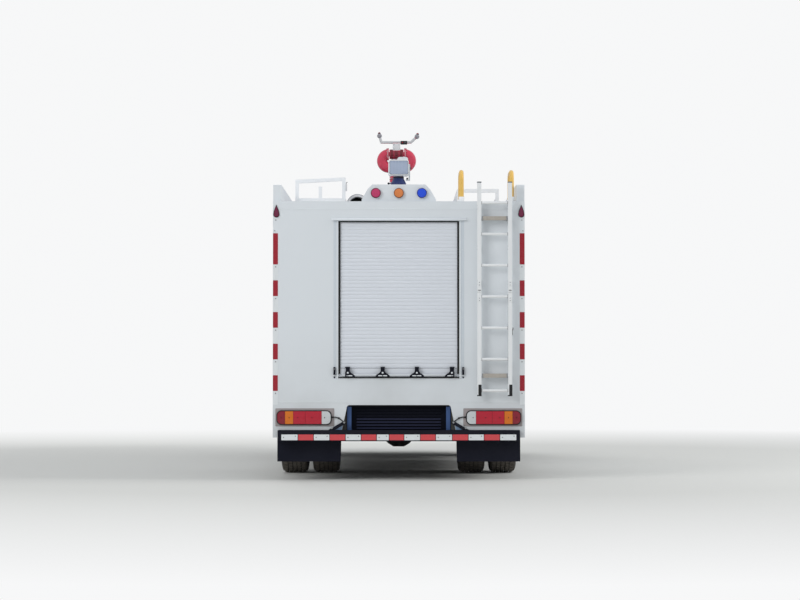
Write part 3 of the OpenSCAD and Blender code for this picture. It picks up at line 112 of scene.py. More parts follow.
world = bpy.data.worlds.new("studio")
scene.world = world
world.use_nodes = True
sky_tree = world.node_tree
sky_tree.nodes.clear()
sky_out, sky_light, sky_seen, sky_pick, sky_ray = [
    sky_tree.nodes.new("ShaderNode" + kind)
    for kind in ("OutputWorld", "Background", "Background", "MixShader", "LightPath")]
sky_light.inputs["Color"].default_value = SKY_COLOUR
sky_light.inputs["Strength"].default_value = SKY_STRENGTH
sky_seen.inputs["Color"].default_value = BACKDROP
for k, source in enumerate((sky_ray.outputs["Is Camera Ray"], sky_light.outputs[0], sky_seen.outputs[0])):
    sky_tree.links.new(source, sky_pick.inputs[k])
sky_tree.links.new(sky_pick.outputs[0], sky_out.inputs[0])

# Each lamp: name, place, what it looks at, width and height in metres, power in watts
LAMPS = [
    ("lamp_left", (-13, -17, 11), (0, -3, 1.2), 9, 9, 1400),
    ("lamp_right", (15, -4, 11), (0, 0, 1.2), 8, 8, 1500),
    ("lamp_front", (-5, 17, 11), (0, 2, 1.2), 9, 9, 1100),
    ("glint_left", (-13, -17, 11), (0, -3, 1.2), 9, 0.7, 90),
    ("glint_right", (15, -4, 11), (0, 0, 1.2), 8, 0.7, 90),
    ("glint_front", (-5, 17, 11), (0, 2, 1.2), 9, 0.7, 70),
]
for name, place, target, wide, high, power in LAMPS:
    lamp_data = bpy.data.lights.new(name, "AREA")
    lamp_data.shape = "RECTANGLE"
    lamp_data.size, lamp_data.size_y = wide, high
    lamp_data.energy = power
    lamp = added(name, lamp_data)
    lamp.visible_camera = False
    lamp.visible_glossy = name.startswith("glint")
    lamp.location = place
    lamp.rotation_euler = (Vector(target) - Vector(place)).to_track_quat("-Z", "Y").to_euler()
print(len(LAMPS), "lamps and a sky of strength", SKY_STRENGTH)

# %% [markdown]
# A finish is a tree of shader nodes. Writing each link by hand hides the idea, so a socket is wrapped in a small
# class whose + - * / and comparisons add Math nodes. Then a mask reads like a formula. The class Finish makes the
# material, and its one method node() adds any other node: its settings first, then its sockets.

# %% A socket that does sums
class Sock:
    """One output socket, with arithmetic that adds Math nodes."""

    def __init__(self, finish, socket):
        self.finish = finish
        self.socket = socket

    def maths(self, operation, other, swapped=False):
        first, second = (other, self) if swapped else (self, other)
        return self.finish.node("ShaderNodeMath", {"operation": operation}, {0: first, 1: second})

    def __add__(self, other): return self.maths("ADD", other)
    def __radd__(self, other): return self.maths("ADD", other, True)
    def __sub__(self, other): return self.maths("SUBTRACT", other)
    def __rsub__(self, other): return self.maths("SUBTRACT", other, True)
    def __mul__(self, other): return self.maths("MULTIPLY", other)
    def __rmul__(self, other): return self.maths("MULTIPLY", other, True)
    def __truediv__(self, other): return self.maths("DIVIDE", other)
    def __gt__(self, other): return self.maths("GREATER_THAN", other)
    def __lt__(self, other): return self.maths("LESS_THAN", other)
    def __mod__(self, other): return self.maths("FLOORED_MODULO", other)
    def __pow__(self, other): return self.maths("POWER", other)
    def __abs__(self): return self.maths("ABSOLUTE", 0)
    def sine(self): return self.maths("SINE", 0)
    def highest(self, other): return self.maths("MAXIMUM", other)
    def lowest(self, other): return self.maths("MINIMUM", other)


def srgb(red, green, blue):
    """A colour read from 0 to 255 a channel, as the linear colour that Blender works in."""
    line = [c / 255 / 12.92 if c <= 10 else ((c / 255 + 0.055) / 1.055) ** 2.4 for c in (red, green, blue)]
    return (*line, 1)


def toned(colour, times, plus=0.0):
    """The same colour made darker or lighter."""
    return (*(min(1.0, c * times + plus) for c in colour[:3]), 1)


print("white by eye", [round(c, 3) for c in srgb(240, 240, 240)[:3]], "in linear light")

# %% [markdown]
# One Principled shader can be paint, rubber, metal or glass, so every finish starts from it. Pictures could feed it,
# but they blur close up. Noise and formulas stay sharp at any distance, and they keep their size on every piece.

# %% A finish and its nodes
class Finish:
    """A material with one Principled shader, and short ways to feed it."""

    def __init__(self, name, colour, roughness=0.5, metallic=0.0, coat=0.0, **constants):
        self.material = bpy.data.materials.new(name)
        self.material.use_nodes = True
        self.tree = self.material.node_tree
        self.shader = self.tree.nodes["Principled BSDF"]
        self.colour = colour
        self.set("Base Color", colour)
        self.set("Roughness", roughness)
        self.set("Metallic", metallic)
        self.set("Coat Weight", coat)
        for socket, value in constants.items():
            self.set(socket.replace("_", " "), value)
        self.material.diffuse_color = colour

    def feed(self, socket, value):
        if isinstance(value, Sock):
            self.tree.links.new(value.socket, socket)
        else:
            socket.default_value = value

    def set(self, name, value):
        self.feed(self.shader.inputs[name], value)

    def node(self, kind, settings=None, values=None, output=0):
        made = self.tree.nodes.new(kind)
        for key, value in (settings or {}).items():
            if key == "stops":
                ramp = made.color_ramp
                while len(ramp.elements) < len(value):
                    ramp.elements.new(0.5)
                for element, (position, colour) in zip(ramp.elements, value):
                    element.position = position
                    element.color = colour
            else:
                setattr(made, key, value)
        for key, value in (values or {}).items():
            self.feed(made.inputs[key], value)
        return Sock(self, made.outputs[output])

    def place(self):
        """Where the point is on the truck, in metres."""
        return self.node("ShaderNodeTexCoord", output="Object")

    def axes(self):
        """The same place as three separate numbers."""
        split = self.node("ShaderNodeSeparateXYZ", values={0: self.place()})
        return [Sock(self, split.socket.node.outputs[i]) for i in range(3)]

    def scaled(self, x, y, z):
        """The place stretched by three factors, for grain that runs one way."""
        return self.node("ShaderNodeVectorMath", {"operation": "MULTIPLY"}, {0: self.place(), 1: (x, y, z)})

    def noise(self, scale, detail=3.0, where=None):
        spot = where or self.place()
        return self.node("ShaderNodeTexNoise", values={"Vector": spot, "Scale": scale, "Detail": detail})

    def ramp(self, factor, *stops):
        """Turns a factor into a grey that goes through the given (position, value) stops."""
        greys = [(at, (value, value, value, 1)) for at, value in stops]
        return self.node("ShaderNodeValToRGB", {"stops": greys}, {"Fac": factor})

    def mix(self, factor, first, second):
        """A colour between two colours."""
        return self.node("ShaderNodeMix", {"data_type": "RGBA"}, {0: factor, 6: first, 7: second}, output=2)

    def bump(self, height, distance=0.001, strength=1.0):
        """Makes the light fall as on a rough surface, without moving it."""
        settings = {"Height": height, "Distance": distance, "Strength": strength}
        self.set("Normal", self.node("ShaderNodeBump", values=settings))


print("a finish can use", [name for name in vars(Finish) if not name.startswith("_")])

# %% [markdown]
# Now the finishes. Body paint isn't one flat white: it has a faint orange-peel ripple, road film that gathers low
# down, and clean gloss higher up. The film is a noise masked by height, and it feeds the colour and the roughness.

# %% Paint finishes
def film_mask(finish, low=0.35, high=1.5):
    """How much road film lies on a point: 1 low down, fading out with height, in soft patches."""
    height = finish.axes()[2]
    fade = ((high - height) / (high - low)).highest(0.0).lowest(1.0)
    patches = finish.ramp(finish.noise(1.7, 5.0), (0.35, 0.25), (0.7, 1.0))
    return fade * patches


def painted(name, colour, film_colour, roughness=0.28, coat=0.35, film=0.4):
    finish = Finish(name, colour, roughness, coat=coat, Coat_Roughness=0.08)
    dirt = film_mask(finish) * film
    shade = finish.noise(0.55, 2.0)
    tone = finish.mix(shade * 0.5, colour, toned(colour, 0.93))
    finish.set("Base Color", finish.mix(dirt, tone, film_colour))
    finish.set("Roughness", roughness + dirt * 0.35 + finish.noise(9.0) * 0.06)
    finish.bump(finish.noise(260.0, 1.0), 0.0002, 0.25)
    return finish


ROAD_FILM = srgb(150, 148, 142)
white_paint = painted("white_paint", srgb(222, 227, 231), ROAD_FILM)
# A whiter copy of the body paint: painted sunlight, for tops and parts that the sun lights.
white_with_painted_sunlight = painted("white_with_painted_sunlight", srgb(250, 252, 254), ROAD_FILM, 0.25, 0.4, 0.1)
# A greyer, bluer copy of the body paint: painted shade, the cool look of white out of the sun.
white_with_painted_shade = painted("white_with_painted_shade", srgb(208, 215, 222), ROAD_FILM, film=0.2)
yellow_paint = painted("yellow_paint", srgb(236, 192, 98), srgb(120, 100, 70), 0.35, 0.3)
monitor_paint = painted("monitor_paint", srgb(206, 46, 78), srgb(90, 50, 50), 0.2, 0.8)
navy_paint = painted("navy_paint", srgb(38, 52, 104), srgb(70, 72, 84), 0.4, 0.2)
black_paint = painted("black_paint", srgb(8, 10, 26), srgb(48, 48, 56), 0.5, 0.05, 0.25)
chassis_paint = painted("chassis_paint", srgb(40, 41, 44), srgb(96, 92, 84), 0.6, 0.0, 0.7)
print("paints made, the white is", [round(c, 3) for c in white_paint.colour[:3]])

# %% [markdown]
# Bare and coated metals. A shutter slat is rolled aluminium: its grain runs along the slat, so the noise is
# squeezed in that direction. Steel that was cast or forged is rough and mottled, and a chromed bar is almost a
# mirror with a trace of haze.

# %% Metal finishes
def brushed(name, colour, stretch, roughness=0.36, metallic=0.55, film=0.25):
    finish = Finish(name, colour, roughness, metallic)
    grain = finish.noise(1.0, 4.0, finish.scaled(*stretch))
    dirt = film_mask(finish) * film
    light = finish.mix(grain, toned(colour, 0.86), colour)
    finish.set("Base Color", finish.mix(dirt, light, ROAD_FILM))
    finish.set("Roughness", roughness + (grain - 0.5) * 0.2 + dirt * 0.3)
    finish.bump(grain, 0.0003, 0.35)
    return finish


def cast(name, colour, roughness=0.6, metallic=0.5):
    finish = Finish(name, colour, roughness, metallic)
    lumps = finish.noise(95.0, 4.0)
    rust = finish.ramp(finish.noise(6.0, 6.0), (0.52, 0.0), (0.72, 1.0))
    finish.set("Base Color", finish.mix(rust * 0.5, colour, srgb(104, 78, 60)))
    finish.set("Roughness", roughness + lumps * 0.2)
    finish.bump(lumps, 0.0012, 0.5)
    return finish


slat_metal = brushed("slat_metal", srgb(230, 234, 241), (4, 4, 420), 0.45, 0.10)
side_slat_metal = brushed("side_slat_metal", srgb(212, 217, 224), (4, 4, 420), 0.45, 0.12)
rail_metal = brushed("rail_metal", srgb(212, 217, 222), (6, 300, 300), 0.4, 0.2, 0.1)
ladder_metal = brushed("ladder_metal", srgb(246, 248, 249), (300, 300, 6), 0.36, 0.2, 0.1)
tank_metal = brushed("tank_metal", srgb(170, 174, 178), (6, 200, 6), 0.35, 0.85, 0.5)
bare_steel = brushed("bare_steel", srgb(168, 170, 172), (160, 160, 160), 0.3, 0.9, 0.3)
chrome = brushed("chrome", srgb(226, 228, 230), (40, 40, 40), 0.09, 1.0, 0.05)
cast_iron = cast("cast_iron", srgb(74, 74, 76))
hub_iron = cast("hub_iron", srgb(112, 112, 114), 0.5, 0.7)
pale_casting = painted("pale_casting", srgb(222, 222, 224), ROAD_FILM, 0.35, 0.3)
dark_red_paint = painted("dark_red_paint", srgb(112, 18, 36), srgb(90, 50, 50), 0.3, 0.4)
bright_bar = brushed("bright_bar", srgb(232, 232, 234), (300, 6, 6), 0.2, 0.7)
print("metals made")

# %% [markdown]
# Wheels: the rims are painted a pale silver, and brake dust settles round the hub, so the dust is masked by the
# distance from the axle. The tyres' rubber turns grey where it meets the road, at the largest radius.

# %% Wheel finishes
WHEEL_Z = 0.53


def axle_distance(finish, axle_y):
    """How far a point is from an axle, seen from the side, in metres."""
    _, y, z = finish.axes()
    return ((y - axle_y) * (y - axle_y) + (z - WHEEL_Z) * (z - WHEEL_Z)) ** 0.5


def wheel_finishes(tag, axle_y):
    rim = Finish("rim_paint_" + tag, srgb(196, 200, 204), 0.35, 0.45, coat=0.2)
    dust = rim.ramp(axle_distance(rim, axle_y), (0.08, 0.75), (0.3, 0.2)) * (0.4 + rim.noise(14.0, 5.0))
    rim.set("Base Color", rim.mix(dust, rim.colour, srgb(92, 84, 76)))
    rim.set("Roughness", 0.35 + dust * 0.4)
    rim.bump(rim.noise(180.0, 2.0), 0.0003, 0.4)
    rubber = Finish("tyre_rubber_" + tag, srgb(30, 30, 31), 0.82)
    worn = rubber.ramp(axle_distance(rubber, axle_y), (0.492, 0.0), (0.53, 1.0)) * 0.55
    dusty = (worn + rubber.noise(9.0, 6.0) * 0.35).lowest(1.0)
    rubber.set("Base Color", rubber.mix(dusty, srgb(24, 24, 25), srgb(112, 106, 98)))
    rubber.set("Roughness", 0.74 + dusty * 0.2)
    rubber.bump(rubber.noise(240.0, 3.0), 0.0006, 0.6)
    return rim, rubber


FRONT_Y, BACK_Y = [(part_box(tyre)[0].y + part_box(tyre)[1].y) / 2 for tyre in ("tyre_front_left", "tyres_rear_left")]
front_rim, front_rubber = wheel_finishes("front", FRONT_Y)
back_rim, back_rubber = wheel_finishes("back", BACK_Y)
print("axles at y", round(FRONT_Y, 3), "and", round(BACK_Y, 3))

# %% [markdown]
# Lamp lenses are moulded with small prisms on the inside that break up the bulb's image. From outside they show
# as a fine grid under a smooth, glossy face, so the grid goes into the colour and a faint bump, and a clear coat
# gives the smooth face.

# %% Lenses, lamps and tape
def lens(name, colour, pitch=0.011, glow=0.0):
    finish = Finish(name, colour, 0.16, coat=0.5, Coat_Roughness=0.03, Specular_IOR_Level=0.3)
    x, _, z = finish.axes()
    cells = (x * (2 * math.pi / pitch)).sine() * (z * (2 * math.pi / pitch)).sine() * 0.5 + 0.5
    finish.set("Base Color", finish.mix(cells, toned(colour, 0.55), colour))
    finish.bump(cells, 0.0008, 0.5)
    if glow:
        finish.set("Emission Color", colour)
        finish.set("Emission Strength", glow)
    return finish


red_lens = lens("red_lens", srgb(192, 20, 48), glow=0.06)
deep_red_lens = lens("deep_red_lens", srgb(150, 22, 44))
marker_lens = lens("marker_lens", srgb(124, 34, 72), 0.007)
amber_lens = lens("amber_lens", srgb(226, 120, 14), glow=0.06)
clear_lens = lens("clear_lens", srgb(222, 226, 228), 0.013)
beacon_red = lens("beacon_red", srgb(206, 62, 112), 0.009, 0.05)
beacon_amber = lens("beacon_amber", srgb(238, 142, 78), 0.009, 0.05)
beacon_blue = lens("beacon_blue", srgb(36, 84, 232), 0.009, 0.1)
beacon_red_rim = lens("beacon_red_rim", srgb(104, 24, 56), 0.009)
beacon_amber_rim = lens("beacon_amber_rim", srgb(132, 84, 58), 0.009)
beacon_blue_rim = lens("beacon_blue_rim", srgb(20, 34, 132), 0.009)


def tape(name, colour):
    """Retroreflective tape: a film over diamond cells with pale sealed seams between them."""
    finish = Finish(name, colour, 0.28, 0.15, coat=0.25, Specular_IOR_Level=0.3)
    x, y, z = finish.axes()
    seam = (((x + y + z) * 95.0) % 1.0 < 0.12).highest(((x + y - z) * 95.0) % 1.0 < 0.12)
    worn = finish.noise(24.0, 5.0)
    finish.set("Base Color", finish.mix(seam * 0.2 + worn * 0.05, colour, toned(colour, 0.75, 0.2)))
    finish.set("Roughness", 0.24 + worn * 0.2 + seam * 0.1)
    finish.bump(seam, 0.0002, 0.4)
    return finish


edge_tape_red = tape("edge_tape_red", srgb(160, 6, 34))
bar_tape_red = tape("bar_tape_red", srgb(212, 70, 76))
tape_white = tape("tape_white", srgb(226, 230, 232))
print("lenses and tape made")

# %% [markdown]
# Rubber, plastics and fabric. Anti-slip surfaces carry their pattern as a bump: raised tears on the deck,
# studs on the cab floor's mat, and grit on the ladder's treads. The patterns are sums of sines and remainders of
# the place, so they keep their size wherever the panel is.

# %% Rubber, plastics and fabric
def grained(name, colour, roughness, scale, depth, mottle=0.12, **constants):
    finish = Finish(name, colour, roughness, **constants)
    grain = finish.noise(scale, 3.0)
    soft = finish.noise(scale / 30, 3.0)
    finish.set("Base Color", finish.mix(soft * mottle * 3, colour, toned(colour, 1.5, 0.015)))
    finish.set("Roughness", roughness + (grain - 0.5) * 0.18)
    finish.bump(grain, depth, 0.6)
    return finish


black_rubber = grained("black_rubber", srgb(20, 20, 22), 0.72, 320, 0.0004)
flap_rubber = grained("flap_rubber", srgb(13, 15, 28), 0.85, 60, 0.001, 0.3)
black_plastic = grained("black_plastic", srgb(22, 22, 25), 0.5, 500, 0.0003)
grey_plastic = grained("grey_plastic", srgb(92, 96, 102), 0.55, 420, 0.0003)
dash_plastic = grained("dash_plastic", srgb(44, 46, 52), 0.58, 700, 0.0003)
tube_grey = grained("tube_grey", srgb(150, 156, 160), 0.5, 90, 0.0006)
lamp_backing = grained("lamp_backing", srgb(150, 142, 142), 0.5, 200, 0.0003)
tread_grit = grained("tread_grit", srgb(158, 152, 144), 0.9, 1400, 0.0008, 0.25)
# A near-black for painted shade: the inside of the apron's recess, bores, and the inner face of a ladder rail.
painted_shade_black = grained("painted_shade_black", srgb(8, 11, 26), 0.75, 120, 0.0006)
rib_blue = grained("rib_blue", srgb(24, 30, 62), 0.6, 120, 0.0006)
# A pale blue for a painted highlight: the sky's light on the strips at the recess's sides.
painted_highlight_blue = grained("painted_highlight_blue", srgb(52, 80, 128), 0.55, 160, 0.0004)
gusset_blue = grained("gusset_blue", srgb(120, 146, 176), 0.5, 160, 0.0004)
seam_gap = grained("seam_gap", srgb(14, 14, 16), 0.8, 200, 0.0003)
for dull in (black_paint, flap_rubber, painted_shade_black, seam_gap):
    dull.set("Specular IOR Level", 0.18)

deck_plate = painted("deck_plate", srgb(196, 200, 202), ROAD_FILM, 0.42, 0.1)
deck_x, deck_y, deck_z = deck_plate.axes()
rising, falling = deck_x + deck_y, deck_x - deck_y
tear_one = (rising * 70.0).sine() * (falling * 22.0).sine()
tear_two = (falling * 70.0).sine() * (rising * 22.0).sine()
flat_deck = deck_z < DECK_Z + 0.005
deck_plate.bump(deck_plate.ramp(tear_one.highest(tear_two) * flat_deck, (0.55, 0.0), (0.75, 1.0)), 0.0025, 0.8)
deck_plate.set("Base Color", deck_plate.mix(flat_deck, srgb(222, 227, 231), srgb(196, 200, 202)))

knob_grey = grained("knob_grey", srgb(142, 140, 146), 0.4, 200, 0.0002)
lamp_face = Finish("lamp_face", srgb(158, 170, 192), 0.12, 0.3, coat=0.6)
face_x, _, face_z = lamp_face.axes()
flutes = ((face_x * 420.0).sine() * 0.5 + 0.5) * ((face_z > 3.205) * 0.5 + 0.5)
lamp_face.set("Base Color", lamp_face.mix(flutes * 0.55, srgb(182, 194, 216), srgb(132, 144, 166)))
lamp_face.bump(flutes, 0.0008, 0.6)
floor_mat = grained("floor_mat", srgb(46, 47, 49), 0.8, 200, 0.0004)
mat_x, mat_y, _ = floor_mat.axes()
studs = (mat_x * 210.0).sine() * (mat_y * 210.0).sine()
floor_mat.bump(floor_mat.ramp(studs, (0.3, 0.0), (0.6, 1.0)), 0.0025, 0.8)

seat_cloth = Finish("seat_cloth", srgb(48, 52, 66), 0.85, Sheen_Weight=0.3)
cloth_x, cloth_y, cloth_z = seat_cloth.axes()
weave = (cloth_x * 1500.0).sine() * ((cloth_y + cloth_z) * 1500.0).sine()
flecks = seat_cloth.ramp(seat_cloth.noise(380.0, 2.0), (0.55, 0.0), (0.7, 1.0))
seat_cloth.set("Base Color", seat_cloth.mix(flecks * 0.45, srgb(44, 48, 62), srgb(96, 104, 126)))
seat_cloth.set("Roughness", 0.8 + weave * 0.08)
seat_cloth.bump(weave, 0.0006, 0.5)

seat_vinyl = grained("seat_vinyl", srgb(34, 35, 40), 0.5, 900, 0.0004)
cab_trim = grained("cab_trim", srgb(150, 152, 156), 0.75, 300, 0.0004)
print("soft finishes made")

# %% [markdown]
# The truck's windows are lightly tinted. Glass could be made to bend light, but then the light needs many bounces to
# reach the seats. Here the glass hides only part of what lies behind it, which is enough for a flat pane.

# %% Glass and mirrors
def glazing(name, tint, cover):
    """Glass that hides the given share of what lies behind it, a little more where film lies on it."""
    finish = Finish(name, tint, 0.03, coat=0.6, IOR=1.5)
    film = finish.noise(3.0, 4.0)
    finish.set("Roughness", 0.02 + film * 0.05)
    finish.set("Alpha", cover + film * 0.06)
    return finish


cab_glazing = glazing("cab_glazing", srgb(52, 70, 76), 0.38)
lamp_glass = glazing("lamp_glass", srgb(226, 230, 232), 0.2)
lamp_glass.bump((lamp_glass.axes()[0] * 420.0).sine(), 0.0012, 0.6)

mirror_glass = Finish("mirror_glass", srgb(214, 222, 228), 0.03, 1.0)
mirror_glass.set("Roughness", 0.02 + mirror_glass.noise(7.0) * 0.05)
reflector = Finish("reflector", srgb(232, 234, 236), 0.08, 1.0)
reflector.set("Roughness", 0.06 + reflector.noise(30.0) * 0.08)
print("glass made")

# %% [markdown]
# Each solid of the packed model keeps its shape and gets its finish here. The names say which piece is which, so
# pieces of one finish share a line. A solid whose faces all have one look needs one material in all its slots.

# %% Dress the solids
def dress(finish, *names):
    """Gives the finish to every slot of the named solids."""
    for name in names:
        slots = nodes[name].data.materials
        if not len(slots):
            slots.append(finish.material)
        for i in range(len(slots)):
            slots[i] = finish.material


dress(white_paint, "body_sides", "body_ends", "cab_sides", "cab_ends", "cab_roof", "front_bumper",
      "searchlight_head")
# The racks take the whiter copy of the body paint, as painted sunlight.
dress(white_with_painted_sunlight, "roof_racks")
dress(white_paint, *(f"door_{row}_{side}" for row in ("front", "crew") for side in SIDES))
dress(deck_plate, "body_deck")
dress(floor_mat, "cab_floor")
dress(slat_metal, "rear_shutter")
dress(side_slat_metal, "side_shutters")
# The step flaps take the shaded copy of the body paint, as painted shade.
dress(white_with_painted_shade, "flap_left", "flap_right")
dress(black_paint, "lift_bar", "underrun_bar")
dress(chassis_paint, "frame_rails", "leaf_springs", "body_floor", "cab_steps")
dress(cast_iron, "front_axle", "rear_axle", "knuckle_left", "knuckle_right", "powertrain")
dress(tank_metal, "chassis_tanks")
dress(front_rim, "rim_front_left", "rim_front_right")
dress(back_rim, "rims_rear_left", "rims_rear_right")
dress(front_rubber, "tyre_front_left", "tyre_front_right")
dress(back_rubber, "tyres_rear_left", "tyres_rear_right")
dress(cab_glazing, "cab_glass", *(f"glass_{row}_{side}" for row in ("front", "crew") for side in SIDES))
dress(dash_plastic, "dashboard")
dress(black_plastic, "front_grille", "mirrors")
dress(grey_plastic, "headlamps")
dress(tube_grey, "suction_tubes")
dress(yellow_paint, "hand_rails")
dress(ladder_metal, "ladder_upper", "ladder_lower")
dress(flap_rubber, "mudflaps")
dress(monitor_paint, "monitor_base", "monitor_body", "monitor_barrel")
dress(navy_paint, "searchlight_post")
dress(seat_cloth, "cab_seats")
dress(red_lens, "rear_lamps")
print("dressed", len(nodes), "solids")

# %% [markdown]
# New pieces are built in mesh code from a few outlines: circles, half circles that turn into balls, and rectangles
# with round corners. A matrix then says where a form goes and which way it faces, so it can be drawn flat first.

# %% Outlines and matrices
import bmesh


def circle(radius, count, shift=0.0):
    """Points evenly round a circle. A shift of 0.5 turns them by half a step."""
    angles = [2 * math.pi * (k + shift) / count for k in range(count)]
    return [(radius * math.cos(a), radius * math.sin(a)) for a in angles]


def ball(radius, steps=10):
    """The profile of a ball, from its lowest point to its highest."""
    angles = [math.pi * k / steps for k in range(steps + 1)]
    return [(radius * math.sin(a), -radius * math.cos(a)) for a in angles]


def rounded(x0, x1, z0, z1, radius, steps=6):
    """The outline of a rectangle with round corners."""
    corners = [(x1 - radius, z1 - radius, 0), (x0 + radius, z1 - radius, 90),
               (x0 + radius, z0 + radius, 180), (x1 - radius, z0 + radius, 270)]
    outline = []
    for cx, cz, first in corners:
        for k in range(steps + 1):
            a = math.radians(first + 90 * k / steps)
            outline.append((cx + radius * math.cos(a), cz + radius * math.sin(a)))
    return outline


def placed(place, degrees, axis="Y"):
    """A matrix that turns by an angle and then moves to a place."""
    return Matrix.Translation(place) @ Matrix.Rotation(math.radians(degrees), 4, axis)


def facing(place, direction):
    """A matrix that puts z along a direction."""
    return Matrix.Translation(place) @ Vector(direction).to_track_quat("Z", "Y").to_matrix().to_4x4()


def moved(where, points):
    """The points, each moved by a matrix."""
    return [where @ Vector(p) for p in points]


print("a rectangle with round corners has", len(rounded(0, 1, 0, 1, 0.1)), "points")

# %% [markdown]
# A Workpiece gathers simple forms in one mesh: blocks and extruded outlines with their edges bevelled, turned
# profiles, and tubes along a path. Modifiers and curves could do the same, but here one piece is one mesh whose size
# is known at once. Every form brings its own finish, so a lamp can hold its rim, lens and screws in one piece. Small
# bevels matter: they catch the light as real edges do.

# %% The workpiece
AXIS_TURN = {
    "x": Matrix(((0, 0, 1, 0), (1, 0, 0, 0), (0, 1, 0, 0), (0, 0, 0, 1))),
    "y": Matrix(((1, 0, 0, 0), (0, 0, -1, 0), (0, 1, 0, 0), (0, 0, 0, 1))),
    "z": Matrix.Identity(4),
}


class Workpiece:
    """One piece of the truck, made of several forms with their own finishes."""

    def __init__(self, name):
        self.name = name
        self.mesh = bmesh.new()
        self.finishes = []

    def slot(self, finish):
        if finish not in self.finishes:
            self.finishes.append(finish)
        return self.finishes.index(finish)

    def take(self, form, finish, bevel=0.0, segments=2, where=None):
        """Adds a form to the piece, with its faces turned outwards and its sharp edges rounded."""
        bmesh.ops.recalc_face_normals(form, faces=form.faces)
        if bevel:
            sharp = [e for e in form.edges if e.is_manifold and e.calc_face_angle(0) > 0.6]
            bmesh.ops.bevel(form, geom=sharp, offset=bevel, segments=segments, profile=0.7,
                            affect="EDGES", clamp_overlap=True)
        if where is not None:
            bmesh.ops.transform(form, matrix=where, verts=form.verts)
        index = self.slot(finish)
        copies = [self.mesh.verts.new(v.co) for v in form.verts]
        form.verts.index_update()
        for face in form.faces:
            made = self.mesh.faces.new([copies[v.index] for v in face.verts])
            made.material_index = index
            made.smooth = True
        form.free()

    def block(self, x0, x1, y0, y1, z0, z1, finish, bevel=0.002, where=None):
        """A block between two places on each axis. x0 and x1 may come in either order."""
        form = bmesh.new()
        bmesh.ops.create_cube(form, size=1)
        for v in form.verts:
            v.co = Vector((sorted((x0, x1))[v.co.x > 0], (y0, y1)[v.co.y > 0], (z0, z1)[v.co.z > 0]))
        self.take(form, finish, bevel, where=where)

    def prism(self, outline, axis, start, end, finish, bevel=0.0, where=None):
        """Extrudes a flat outline. Its points are (y, z) along x, (x, z) along y and (x, y) along z."""
        form = bmesh.new()
        spots = {"x": lambda a, b, c: (c, a, b), "y": lambda a, b, c: (a, c, b), "z": lambda a, b, c: (a, b, c)}
        near, far = [[form.verts.new(spots[axis](a, b, c)) for a, b in outline] for c in sorted((start, end))]
        form.faces.new(near)
        form.faces.new(list(reversed(far)))
        for i in range(len(near)):
            j = (i + 1) % len(near)
            form.faces.new((near[j], near[i], far[i], far[j]))
        self.take(form, finish, bevel, where=where)

    def sheet(self, x0, x1, z0, z1, radius, steps, y0, y1, finish, bevel=0.0, where=None):
        """An upright plate with round corners, from y0 to y1."""
        x0, x1 = sorted((x0, x1))
        self.prism(rounded(x0, x1, z0, z1, radius, steps), "y", y0, y1, finish, bevel, where)

    def tile(self, half_w, half_h, *rest):
        """A sheet about the middle of where, given by half its width and half its height."""
        self.sheet(-half_w, half_w, -half_h, half_h, *rest)

    def turned(self, profile, place, axis, finish, steps=48, where=None, flip=1):
        """Turns a profile of (radius, height) points about an axis through place."""
        form = bmesh.new()
        rings = []
        for radius, height in profile:
            if radius < 1e-6:
                rings.append([form.verts.new((0, 0, height * flip))])
            else:
                rings.append([form.verts.new((x, y, height * flip)) for x, y in circle(radius, steps)])
        for low, high in zip(rings, rings[1:]):
            for i in range(steps):
                j = (i + 1) % steps
                corners = [low[i % len(low)], low[j % len(low)], high[j % len(high)], high[i % len(high)]]
                corners = [v for k, v in enumerate(corners) if v not in corners[:k]]
                if len(corners) > 2:
                    form.faces.new(corners)
        spot = Matrix.Translation(place) @ AXIS_TURN[axis]
        self.take(form, finish, where=where @ spot if where is not None else spot)

    def spun(self, profile, where, finish, steps=48):
        """Turns a profile about the z axis of a matrix."""
        self.turned(profile, (0, 0, 0), "z", finish, steps, where=where)

    def tube(self, points, radius, finish, sides=12, closed=False, where=None):
        """A round tube through the points, with mitred bends and closed ends."""
        form = bmesh.new()
        points = [Vector(p) for p in points]
        count = len(points)
        rings = []
        side = None
        for i, point in enumerate(points):
            before = points[(i - 1) % count] if closed or i else point
            after = points[(i + 1) % count] if closed or i < count - 1 else point
            ahead = (after - before).normalized()
            if side is None:
                side = ahead.orthogonal().normalized()
            side = (side - ahead * side.dot(ahead)).normalized()
            other = ahead.cross(side)
            rings.append([form.verts.new(point + radius * (math.cos(a) * side + math.sin(a) * other))
                          for a in (2 * math.pi * k / sides for k in range(sides))])
        pairs = list(zip(rings, rings[1:])) + ([(rings[-1], rings[0])] if closed else [])
        for low, high in pairs:
            for i in range(sides):
                j = (i + 1) % sides
                form.faces.new((low[i], low[j], high[j], high[i]))
        if not closed:
            form.faces.new(list(reversed(rings[0])))
            form.faces.new(rings[-1])
        self.take(form, finish, where=where)

    def screw(self, place, direction, radius, finish, height=None):
        """A low domed screw or rivet head that sits on a face."""
        height = height or radius * 0.55
        profile = [(0, height), (radius * 0.55, height * 0.9), (radius * 0.92, height * 0.45), (radius, 0)]
        self.spun(profile, facing(place, direction), finish, 12)

    def hexagon(self, place, direction, radius, height, finish):
        """A hexagon bolt head or nut."""
        self.prism(circle(radius, 6), "z", 0, height, finish, radius * 0.08, facing(place, direction))

    def done(self, body, instead_of=(), crease=35):
        """Makes the object, lets it ride on a body, and says which solids it stands for."""
        data = bpy.data.meshes.new(self.name)
        self.mesh.normal_update()
        self.mesh.to_mesh(data)
        self.mesh.free()
        for finish in self.finishes:
            data.materials.append(finish.material)
        data.set_sharp_from_angle(angle=math.radians(crease))
        piece = added(self.name, data)
        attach(piece, body)
        if instead_of:
            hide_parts(*instead_of)
        return piece


print("workpiece ready")

